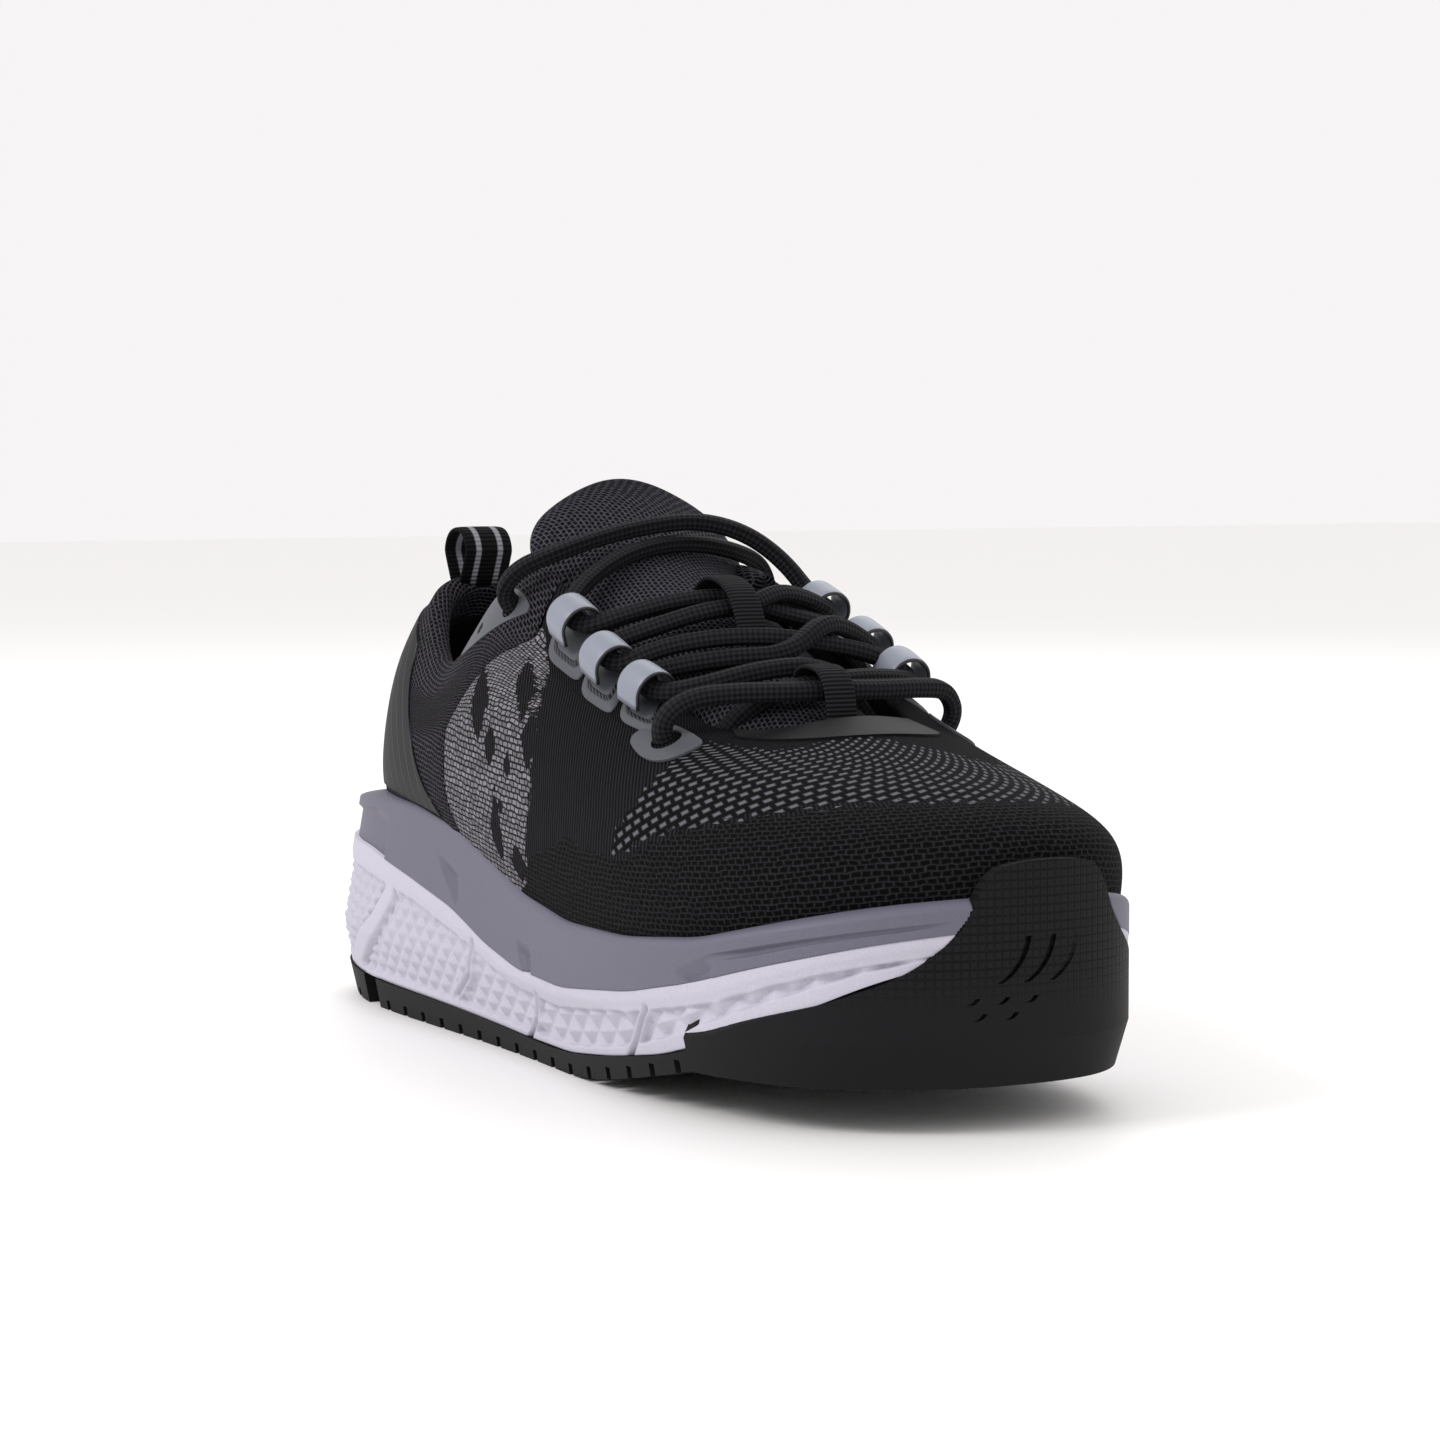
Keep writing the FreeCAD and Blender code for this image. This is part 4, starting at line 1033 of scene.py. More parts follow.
@dataclass(frozen=True)
class Braid(Finish):
    """Braided cord: a diamond pattern from two crossing helices over length and angle."""
    pick_mm: float = 1.3
    gap: str = "#040405"

    def pattern(self, tree: bpy.types.NodeTree) -> tuple:
        """Product of two sines that climb the cord in opposite directions.

        Args:
            tree: the material's node tree.

        Returns:
            Sockets of the colour and the height.
        """
        parts = add_node(tree, "SeparateXYZ", {0: self.surface(tree)})
        waves = []
        for direction in (1.0, -1.0):
            turn = add_node(tree, "Math", {0: parts.outputs[1], 1: direction}, operation="MULTIPLY")
            total = add_node(tree, "Math", {0: parts.outputs[0], 1: turn.outputs[0]},
                             operation="ADD")
            waves.append(self.wave(tree, total.outputs[0], 2 * self.pick_mm))
        product = add_node(tree, "Math", {0: waves[0], 1: waves[1]}, operation="MULTIPLY")
        level = add_node(tree, "MapRange", {0: product.outputs[0], 1: -1.0, 2: 1.0})
        return self.tint(tree, level.outputs[0], self.gap, self.colour), level.outputs[0]


@dataclass(frozen=True)
class GridRubber(Finish):
    """Moulded rubber with a fine square grid sunk in its face, on the front only."""
    cell_mm: float = 1.9
    line_mm: float = 0.34
    line: str = "#09090b"
    fade_from_mm: float = 26.0
    fade_to_mm: float = 36.0
    grain_share: float = 0.25

    def pattern(self, tree: bpy.types.NodeTree) -> tuple:
        """Grid of cells over y and z, faded out below the toe's wrap.

        Args:
            tree: the material's node tree.

        Returns:
            Sockets of the colour and the height.
        """
        place = self.place(tree)
        parts = add_node(tree, "SeparateXYZ", {0: place})
        flat = add_node(tree, "CombineXYZ", {0: parts.outputs[1], 1: parts.outputs[2]})
        cells = add_node(tree, "TexBrick", {
            "Vector": flat.outputs[0], "Scale": 1.0, "Mortar Size": self.line_mm, "Mortar Smooth": 1.0,
            "Brick Width": self.cell_mm, "Row Height": self.cell_mm}, offset=0.0)
        high = add_node(tree, "MapRange", {0: parts.outputs[2], 1: self.fade_from_mm,
                                           2: self.fade_to_mm})
        sunk = add_node(tree, "Math", {0: cells.outputs["Fac"], 1: high.outputs[0]},
                        operation="MULTIPLY")
        height = add_node(tree, "Math", {0: 1.0, 1: sunk.outputs[0]}, operation="SUBTRACT")
        grain = self.noise(tree, place, self.grain_mm)
        total = add_node(tree, "Math", {0: grain, 1: self.grain_share,
                                        2: height.outputs[0]}, operation="MULTIPLY_ADD")
        return self.tint(tree, sunk.outputs[0], self.colour, self.line), total.outputs[0]


class Finishes(Enum):
    """Every finish of the shoe."""
    VAMP = Knit("vamp_engineered_knit", "#2b2a2d", 0.9, 0.08, relief_mm=0.5,
                hole_mm=1.9, row_mm=1.35, melange="#7f7c83", dashes="#5d5c62", rib="#232226")
    COLLAR = Mesh("collar_sandwich_mesh", "#55525b", 0.9, 0.08, relief_mm=0.45,
                  hole_mm=1.9, row_mm=1.25)
    TONGUE = Mesh("tongue_spacer_mesh", "#595761", 0.9, 0.08, relief_mm=0.4, hole_mm=1.6,
                  row_mm=1.3, ground="#0a0a0d")
    LINING = Mesh("brushed_lining", "#19191c", 0.95, 0.08, relief_mm=0.15, hole_mm=1.2,
                  row_mm=0.9)
    FOOT_BED = Mesh("foot_bed_jersey", "#26262a", 0.95, 0.08, relief_mm=0.2, hole_mm=1.4,
                    row_mm=1.0, ground="#0c0c0e")
    BOARD = Finish("pressed_fibre_board", "#8a8680", 0.9, grain_mm=1.5, relief_mm=0.1)
    STIFFENER = Finish("thermoformed_sheet", "#55565a", 0.6, grain_mm=1.0)
    GREY_FOAM = Finish("grey_compression_foam", "#605e6d", 0.55, 0.35, grain_mm=0.5,
                       relief_mm=0.04)
    WHITE_FOAM = Finish("pale_injected_foam", "#b6b3c0", 0.55, 0.3, grain_mm=0.5,
                        relief_mm=0.03)
    RUBBER = GridRubber("carbon_rubber", "#111214", 0.62, 0.14, grain_mm=0.5, relief_mm=0.3)
    DARK_FILM = Finish("welded_dark_film", "#121214", 0.55, 0.12, grain_mm=0.4, relief_mm=0.03)
    HEEL_SHEET = HeelSheet("moulded_heel_sheet", "#161618", 0.55, 0.12, relief_mm=0.25)
    GREY_FILM = Finish("welded_grey_film", "#4c4e54", 0.5, 0.25, grain_mm=0.4,
                       relief_mm=0.03)
    LOOP = LoopTape("satin_loop_tape", "#7f8490", 0.4, 0.4, grain_mm=0.35, relief_mm=0.03)
    TAB = StitchedTab("stitched_grey_film", "#4c4e54", 0.5, 0.25, relief_mm=0.3)
    KEEPER = Webbing("ribbed_keeper_tape", "#27272a", 0.85, 0.1, relief_mm=0.25, rib_mm=1.0)
    PULL = Webbing("striped_pull_tape", "#121214", 0.85, 0.1, relief_mm=0.25, rib_mm=1.2,
                   stripe="#85838a")
    LACE = Braid("braided_polyester_lace", "#232327", 0.75, 0.12, relief_mm=0.3)
    AGLET = Finish("shrunk_film_tip", "#15161a", 0.25, 0.5)


class Wardrobe:
    """Makes each finish's material once and dresses pieces in it."""

    def __init__(self) -> None:
        """Starts with no materials."""
        self.made: dict[Finishes, bpy.types.Material] = {}

    def dress(self, obj: bpy.types.Object, finish: Finishes) -> bpy.types.Object:
        """Gives an object one material.

        Args:
            obj: piece or kept node.
            finish: which finish it takes.

        Returns:
            The same object.
        """
        if finish not in self.made:
            self.made[finish] = finish.value.material()
        obj.data.materials.clear()
        obj.data.materials.append(self.made[finish])
        return obj


WARDROBE = Wardrobe()


def place_piece(obj: bpy.types.Object, finish: Finishes, nodes: tuple[str, ...],
                body: str = "root") -> bpy.types.Object:
    """Dresses a piece, makes it ride and hides the nodes it stands for.

    Args:
        obj: the piece.
        finish: the finish it takes.
        nodes: the CAD nodes it stands for.
        body: the body it rides on.

    Returns:
        The same piece.
    """
    WARDROBE.dress(obj, finish)
    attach(obj, body)
    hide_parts(*nodes)
    log.info("piece %s: %d faces", obj.name, len(obj.data.polygons))
    return obj


# ---------------------------------------------------------------- sole
@dataclass
class Sole:
    """Two-tone foam midsole and the foot bed; the rubber and the board keep their nodes."""
    rings: int = 1200
    band_rows: int = 9
    cut_rows: int = 40
    cradle_rows: int = 52
    lip_height: float = 2.2
    lip_bulge: float = 2.0
    panel_rise: float = 1.3
    heel_pitch: float = 7.0
    toe_pitch: float = 11.0
    heel_tall: float = 6.6
    toe_tall: float = 8.0
    cut_depth: float = 1.9
    joint_gap: float = 0.06
    bumper_room: float = 3.3
    least_wall: float = 4.5
    smoothing: int = 9
    rim_drop: float = 0.6
    face_inset: float = 1.3
    face_lean: float = 0.35
    feather_room: float = 1.1
    bead_rise: float = 0.7
    groove_depth: float = 1.7
    rib_groove_depth: float = 1.3
    bed_inset: float = 10.2
    bed_wall: float = 4.6
    bed_ends: tuple[float, float] = (-128.5, 141.0)
    bed_end_round: float = 16.0
    bed_turn_up: float = 1.8

    def __post_init__(self) -> None:
        """Spaces the ring's stations evenly along the widest outline."""
        poles = OUTLINE[:, :2]
        dense = np.linspace(0, len(poles), 4000, endpoint=False)
        curve = closed_spline(poles, dense)
        low, high = curve.min(0), curve.max(0)
        scale = np.array([SOLE_LENGTH, SOLE_WIDTH]) / (high - low)
        self.poles = (poles - (low + high) / 2) * scale
        curve = closed_spline(self.poles, dense)
        steps = np.linalg.norm(np.roll(curve, -1, 0) - curve, axis=1)
        length = np.concatenate([[0], np.cumsum(steps)])
        even = np.linspace(0, length[-1], self.rings, endpoint=False)
        self.t = np.interp(even, length, np.append(dense, len(poles)))
        self.arc = even
        self.plan_x = closed_spline(self.poles, self.t)[:, 0]

    def section(self, column: int | None, extra: float) -> Array:
        """Plan of one section of the form: the outline moved in by a column of insets."""
        insets = (OUTLINE[:, column] if column is not None else np.zeros(len(OUTLINE))) + extra
        return closed_spline(inset_points(self.poles, insets), self.t)

    def wall(self, z: Array, inset: Array) -> Array:
        """Outside of the sole: straight between ground, flare and rim sections.

        Args:
            z: (rings, k) heights.
            inset: (rings, k) depth inside the form.

        Returns:
            (rings, k, 3) points.
        """
        ground, flare, rim = self.section(3, 0), self.section(None, 0), self.section(2, 0)
        inward = unit(self.section(None, 1.0) - flare)
        low = np.clip(z / FLARE_HEIGHT, 0, 1)[..., None]
        high = np.clip((z - FLARE_HEIGHT) / (FORM_HEIGHT - FLARE_HEIGHT), 0, 1)[..., None]
        plan = ground[:, None] * (1 - low) + flare[:, None] * low
        plan = plan + (rim - flare)[:, None] * high + inward[:, None] * inset[..., None]
        return np.concatenate([plan, z[..., None]], 2)

    def heights(self, line: Array) -> Array:
        """A side-view line read round the ring and smoothed."""
        return smooth_ring(height_at(line, self.plan_x), self.smoothing)

    def upper_gap(self) -> Array:
        """Depth from the sole's outline to the upper's feather line, round the ring.

        Returns:
            (rings,) depths in millimetres.
        """
        u = np.linspace(0, STATIONS, 3000, endpoint=False)
        feather = closed_spline(NET[:, 1, :2], u)
        flare = self.section(None, 0)
        distance = np.linalg.norm(flare[:, None] - feather[None], axis=2).min(1)
        return smooth_ring(distance, 6)

    def under_bumper(self, z: Array, edge: float = 0.9) -> Array:
        """1 where the toe bumper covers the wall, 0 elsewhere: in front of its back edge and
        under its front-view line.

        Args:
            z: (rings, k) heights.
            edge: height over which the cover starts.

        Returns:
            (rings, k) shares.
        """
        plan = self.wall(z, 0 * z)
        under = np.interp(plan[..., 1], *BUMPER_FRONT.T, left=0, right=0) - z
        behind = smooth_step(BUMPER_BACK + 0.5, BUMPER_BACK + 1.5, plan[..., 0])
        return smooth_step(0.1, 0.1 + edge, under) * behind

    def cradle(self) -> bpy.types.Object:
        """Grey foam cradle: an outer wall with raised panels, a rolled lip and an inner wall
        against the upper.

        Returns:
            The closed foam.
        """
        low = self.heights(PARTING_LINE) + self.joint_gap
        top = self.heights(RIM_LINE) - self.rim_drop
        q = np.linspace(0, 1, self.cradle_rows)[None]
        z = low[:, None] + (top - low)[:, None] * q
        under_rim = top[:, None] - z
        lip = self.lip_bulge * (1 - smooth_step(1.2, 3.6, under_rim))
        room = self.bumper_room * self.under_bumper(z)
        gap = self.upper_gap() - self.feather_room
        rise = (z - FLARE_HEIGHT) / (FORM_HEIGHT - FLARE_HEIGHT)
        rim_inset = closed_spline(OUTLINE[:, 2:3], self.t) * rise
        clear = gap[:, None] - self.least_wall - rim_inset + self.face_lean * under_rim
        face = np.minimum(self.face_inset - lip, clear)
        outer = self.wall(z, np.maximum(face - self.panels(z, under_rim), room))
        turn = np.linspace(0, math.pi / 2, 12)[None]
        start = np.maximum(face[:, -1:], room[:, -1:])
        reach = np.maximum(gap[:, None], start + 0.5) - start
        crown_inset = start + reach * (1 - np.cos(turn))
        crown_z = top[:, None] + self.lip_height * np.sin(turn)
        crown = self.wall(crown_z, crown_inset)
        down = np.linspace(0, 1, 6)[None, 1:]
        inner = self.wall(crown_z[:, -1:] - (crown_z[:, -1:] - low[:, None] - 1) * down,
                          np.repeat(crown_inset[:, -1:], 5, 1) + 0.4)
        under = self.wall(np.repeat(low[:, None], 3, 1), np.array([[9.0, 7.0, 5.0]])
                          + 0 * low[:, None])
        loop = np.concatenate([outer, crown[:, 1:], inner, under], 1)
        return ring_solid("midsole_cradle_wall", loop, True)

    def panels(self, z: Array, under_rim: Array) -> Array:
        """Raised panels: a step under each panel's top line, with a bead along the line.

        Args:
            z: (rings, k) heights.
            under_rim: depth of each point under the rim.

        Returns:
            (rings, k) rise in millimetres.
        """
        x = np.broadcast_to(self.plan_x[:, None], z.shape)
        relief = 0 * z
        for line in PANEL_TOPS:
            inside = smooth_step(-0.35, 0.35, np.interp(x, *line.T) - z)
            inside = inside * smooth_step(line[0, 0] - 1.2, line[0, 0] + 1.2, x)
            inside = inside * (x < line[-1, 0])
            bead = np.exp(-(line_distance(x, z, line) / 0.7) ** 2)
            relief = np.maximum(relief, self.panel_rise * inside + self.bead_rise * bead)
        return relief * smooth_step(1.8, 3.2, under_rim)

    def cushion(self) -> bpy.types.Object:
        """Pale foam cushion: a smooth top band, pyramid panels split by grooves and a smooth
        lower band at the forefoot.

        Returns:
            The closed foam.
        """
        low = self.heights(RUBBER_LINE) + self.joint_gap
        top = self.heights(PARTING_LINE)
        foot = np.clip(self.heights(BAND_FOOT), low + 2, top - 1)
        rise = np.linspace(0, 1, self.cut_rows)[None]
        band = np.linspace(0, 1, self.band_rows)[None, 1:]
        z = np.concatenate([low[:, None] + (foot - low)[:, None] * rise,
                            foot[:, None] + (top - foot)[:, None] * band], 1)
        room = self.bumper_room * self.under_bumper(z)
        crown = 0.5 * smooth_step(0, 2.5, z - foot[:, None]) - 0.2
        outer = self.wall(z, np.maximum(0.45 - crown + self.pyramids(z, foot[:, None]), room))
        steps = np.array([[4.5, 8.0, 12.0]]) + 0 * z[:, :1]
        roof = self.wall(np.repeat(top[:, None], 3, 1), steps)
        floor = self.wall(np.repeat(low[:, None], 3, 1), steps[:, ::-1])
        return ring_solid("midsole_cushion_wall", np.concatenate([outer, roof, floor], 1), True)

    def pyramids(self, z: Array, foot: Array) -> Array:
        """Depth of the cut pattern. With a = X + Z and b = X - Z, X and Z being lengths in
        pitches, each cell of whole a and b is a diamond whose middle stands out by the depth
        times 1 - max(|2a - 1|, |2b - 1|).

        Args:
            z: (rings, k) heights.
            foot: (rings, 1) height of the pattern's top.

        Returns:
            (rings, k) depth in millimetres.
        """
        x = np.broadcast_to(self.plan_x[:, None], z.shape)
        forward = smooth_step(-60, 60, self.plan_x)
        pitch = self.heel_pitch + (self.toe_pitch - self.heel_pitch) * forward
        along = np.concatenate([[0], np.cumsum(self.arc[1] / pitch[:-1])])[:, None]
        floor = self.heights(PYRAMID_FOOT)[:, None]
        up = (z - floor) / (self.heel_tall + (self.toe_tall - self.heel_tall) * forward)[:, None]
        a, b = along + up, along - up
        peak = 1 - np.maximum(np.abs(2 * (a % 1) - 1), np.abs(2 * (b % 1) - 1))
        depth = self.cut_depth * (1 - peak)
        depth *= smooth_step(0, 1.0, foot - z) * smooth_step(0, 1.0, z - floor)
        off_rib = line_distance(x, z, HEEL_RIB)
        rib_groove = self.rib_groove_depth * np.exp(-((off_rib - 3.8) / 0.7) ** 2)
        within = smooth_step(0, 1.5, foot - z) * smooth_step(0, 1.5, z - floor)
        depth = depth * smooth_step(3.2, 4.2, off_rib) + rib_groove * within
        for line in PANEL_GROOVES:
            off = line_distance(x, z, line)
            groove = self.groove_depth * np.exp(-(off / 0.75) ** 2)
            depth = depth * smooth_step(1.4, 2.2, off) + groove
        return depth

    def foot_bed(self) -> bpy.types.Object:
        """Removable foot bed: its edge is the sole's outline moved in, its top is dished and
        turns up at the edge with the sixth power of the distance from the middle.

        Returns:
            The closed foot bed.
        """
        back, front = self.bed_ends
        x = np.linspace(back, front, 150)[:, None]
        edge = self.section(None, self.bed_inset)
        outer, inner = edge[edge[:, 1] < 0], edge[edge[:, 1] >= 0]
        low = np.interp(x, *outer[np.argsort(outer[:, 0])].T)
        high = np.interp(x, *inner[np.argsort(inner[:, 0])].T)
        from_end = np.minimum(x - back, front - x) + 0.1
        ends = np.sqrt(np.clip(from_end / self.bed_end_round, 0, 1))
        across = np.linspace(-1, 1, 44)[None]
        y = (low + high) / 2 + (high - low) / 2 * across * (0.25 + 0.75 * ends)
        top = height_at(BED_TOP, x) + self.bed_turn_up * across ** 6
        x = np.broadcast_to(x, y.shape)
        return slab_solid("knit_covered_foot_bed", np.stack([x, y, top], -1),
                          np.stack([x, y, top - self.bed_wall], -1))

    def build(self) -> None:
        """Makes both foams and the foot bed, and dresses the rubber and the board."""
        place_piece(self.cradle(), Finishes.GREY_FOAM, ("midsole_cradle",))
        place_piece(self.cushion(), Finishes.WHITE_FOAM, ("midsole_cushion",))
        place_piece(self.foot_bed(), Finishes.FOOT_BED,
                    ("insole_foam", "insole_cover"))
        for node, finish in (("outsole", Finishes.RUBBER), ("heel_pad", Finishes.RUBBER),
                             ("lasting_board", Finishes.BOARD)):
            WARDROBE.dress(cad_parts[node], finish)


# ---------------------------------------------------------------- upper
@dataclass
class Upper:
    """Knitted vamp, padded collar, both linings, and finishes for the film and stiffeners."""
    vamp_size: tuple[int, int] = (300, 96)
    collar_size: tuple[int, int] = (220, 60)
    knit_wall: float = 1.5
    padding_wall: float = 6.2
    station: float = 25.5
    overlap: float = 0.4
    tuck: float = 1.8
    zone_height: float = 80.0
    lining_wall: float = 0.8

    def vamp(self) -> bpy.types.Object:
        """Front panel from seam to seam: u runs between the two seams, v from feather line to
        top line. Its zones are signed distances from the edges of the melange and the dashes.

        Returns:
            The closed knit, with its zones as attributes.
        """
        s, v = grid(*self.vamp_size)
        start = seam_station(v) + 0.02
        u = start + s * (STATIONS - 2 * start)
        edge = smooth_step(0.985, 1.0, v)
        outer = upper_lift(u, v, 0.05 - 0.35 * edge)
        inner = upper_lift(u, v, -self.knit_wall + 0.25 * edge)
        side = np.minimum(u, STATIONS - u)
        panel = self.station * (np.interp(v, *MELANGE_EDGE.T) - side)
        melange = np.minimum(panel, self.zone_height * (0.87 - v))
        for centre, height, long, tall in DIAMONDS:
            span = np.abs(side - centre) / long + np.abs(v - height) / tall
            melange = np.minimum(melange, 8.0 * (span - 1))
        mesh = self.zone_height * (np.interp(u, *MESH_TOP.T) - v)
        dash = np.minimum(self.zone_height * (np.interp(u, *DASH_TOP.T) - v), -mesh - 1)
        dash = np.where((u > 8.7) & (u < 17.4), dash, -9.0)
        zones = {"melange": melange, "dash": dash, "mesh": mesh, "rib": -panel + 18 * v}
        return slab_solid("knit_vamp", outer, inner, zones)

    def lining(self) -> bpy.types.Object:
        """Thin sheet against the inside of the vamp.

        Returns:
            The closed sheet.
        """
        s, v = grid(150, 40)
        start = seam_station(v) + 0.1
        u = start + s * (STATIONS - 2 * start)
        v = 0.03 + 0.93 * v
        return slab_solid("vamp_sock_lining", upper_lift(u, v, -self.knit_wall - 0.1),
                          upper_lift(u, v, -self.knit_wall - self.lining_wall))

    def heel_sock(self) -> bpy.types.Object:
        """Padded inner face of the heel, from the foot bed to just under the top edge.

        Returns:
            The closed sheet.
        """
        s, v = grid(130, 44)
        end = seam_station(v) - 0.1
        u, v = -end + s * 2 * end, 0.06 + 0.86 * v
        depth = 3.2 + (self.padding_wall + 0.1 - 3.2) * smooth_step(0.5, 0.72, v)
        return slab_solid("heel_sock_lining", upper_lift(u, v, -depth),
                          upper_lift(u, v, -depth - self.lining_wall))

    def collar(self) -> bpy.types.Object:
        """Padded collar, lapped over the knit: outer mesh, drawn in at its foot, up to the top
        line, a half-round roll over the edge and the padded inner face down to the ankle.

        Returns:
            The closed collar.
        """
        s, v = grid(*self.collar_size)
        end = seam_station(v) - 0.02
        u = -end + s * 2 * end
        rim = np.minimum(np.minimum(s, 1 - s) * 60, 1) * smooth_step(1, 0.9, v)
        tuck = self.tuck * (1 - smooth_step(0.02, 0.16, v))
        outer = upper_lift(u, v, self.overlap * rim - tuck)
        turn = np.linspace(0, 1, 16)[None, 1:-1]
        top_u = np.broadcast_to(u[:, -1:], (len(u), 14))
        ones = np.ones_like(top_u)
        half = self.padding_wall / 2
        up = upper_point(u[:, -1], np.ones(len(u))) - upper_point(u[:, -1], np.full(len(u), 0.97))
        rise = unit(up)[:, None] * (half * 0.8 * np.sin(math.pi * turn))[..., None]
        roll = upper_lift(top_u, ones, -half * (1 - np.cos(math.pi * turn)) + 0 * ones) + rise
        back = v[:, ::-1][:, :int(self.collar_size[1] * 0.5)]
        swell = smooth_step(0.56, 0.74, back)
        depth = 3.0 + (self.padding_wall - 3.0) * swell
        inner = upper_lift(u[:, ::-1][:, :back.shape[1]], back, -depth)
        return ring_solid("padded_collar", np.concatenate([outer, roll, inner], 1))

    def build(self) -> None:
        """Makes the vamp, collar and linings, and dresses the nodes that are kept."""
        place_piece(self.vamp(), Finishes.VAMP, ("vamp_knit",))
        collar = place_piece(self.collar(), Finishes.COLLAR,
                             ("collar_mesh", "collar_foam"))
        place_piece(self.lining(), Finishes.LINING, ("vamp_lining",))
        sock = place_piece(self.heel_sock(), Finishes.LINING, ("heel_lining",))
        for node, finish in (("toe_puff", Finishes.STIFFENER), ("heel_counter", Finishes.STIFFENER),
                             ("heel_clip", Finishes.HEEL_SHEET), ("throat_film", Finishes.DARK_FILM),
                             ("top_eyelet_outer", Finishes.GREY_FILM),
                             ("top_eyelet_inner", Finishes.GREY_FILM),
                             ("low_eyelet_outer", Finishes.GREY_FILM),
                             ("low_eyelet_inner", Finishes.GREY_FILM)):
            WARDROBE.dress(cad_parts[node], finish)


# ---------------------------------------------------------------- tongue
@dataclass
class Tongue:
    """Padded tongue with its standing flap, one sheet of mesh over foam."""
    rows: int = 130
    section_points: int = 72
    thickness: float = 6.4
    strap_width: float = 8.0
    strap_wall: float = 1.3

    def body(self) -> bpy.types.Object:
        """Crowned pad: each section is a flat oval whose top falls away with the square of
        the distance from the crown, pinched thin at the edges.

        Returns:
            The closed pad.
        """
        t = np.linspace(0.02, 0.995, self.rows)
        x, y, z, half, fall = open_spline(TONGUE, t).T[:, :, None]
        angle = np.linspace(0, 2 * math.pi, self.section_points, endpoint=False)[None]
        side, bulge = np.cos(angle), np.sin(angle)
        along = np.gradient(np.column_stack([x, z]), axis=0)
        normal = unit(np.column_stack([along[:, 1], -along[:, 0]]))
        normal *= np.sign(normal[:, 1:] + normal[:, :1])
        ends = np.sqrt(np.clip(1 - np.clip((t - 0.93) / 0.07, 0, 1) ** 2, 0.02, 1))[:, None]
        thick = self.thickness * ends / 2 * np.abs(bulge) ** 0.6 * np.sign(bulge)
        lift = thick - self.thickness / 2
        points = np.stack([x + normal[:, :1] * lift, y + half * side,
                           z - fall * side ** 2 + normal[:, 1:] * lift], -1)
        return ring_solid("padded_tongue", points)

    def strap(self, name: str, corners: list[tuple[float, float]]) -> bpy.types.Object:
        """Keeper: webbing over the lace strands, on a rounded side-view path.

        Args:
            name: name of the keeper.
            corners: x and z of the path's points.

        Returns:
            The closed keeper.
        """
        knots = np.array([(x, 0.0, z) for x, z in corners])
        path = open_spline(knots, np.linspace(0, 1, 48))
        return strap_solid(name, path, ACROSS, self.strap_width, self.strap_wall)

    def build(self) -> None:
        """Makes the pad and the two keepers."""
        pad = self.body()
        WARDROBE.dress(pad, Finishes.TONGUE)
        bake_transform(pad)
        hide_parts("tongue_face", "tongue_foam", "tongue_lining", "tongue_flap_face",
                    "tongue_flap_foam", "tongue_flap_lining")
        upper = self.strap("keeper_strap_upper", [(11.2, 111.2), (13, 113.6), (16.5, 115.9),
                                                  (21.2, 116.2), (26, 114.6), (29.8, 112.2),
                                                  (33, 106.6), (35, 101.8)])
        lower = self.strap("keeper_strap_lower", [(58.6, 88.8), (58.8, 92), (59.6, 95.6),
                                                  (63.2, 97.0), (67, 96.8), (71, 95.8),
                                                  (74.4, 91.4), (74.9, 80.4)])
        place_piece(upper, Finishes.KEEPER, ("tongue_keeper_upper",))
        place_piece(lower, Finishes.KEEPER, ("tongue_keeper_lower",))


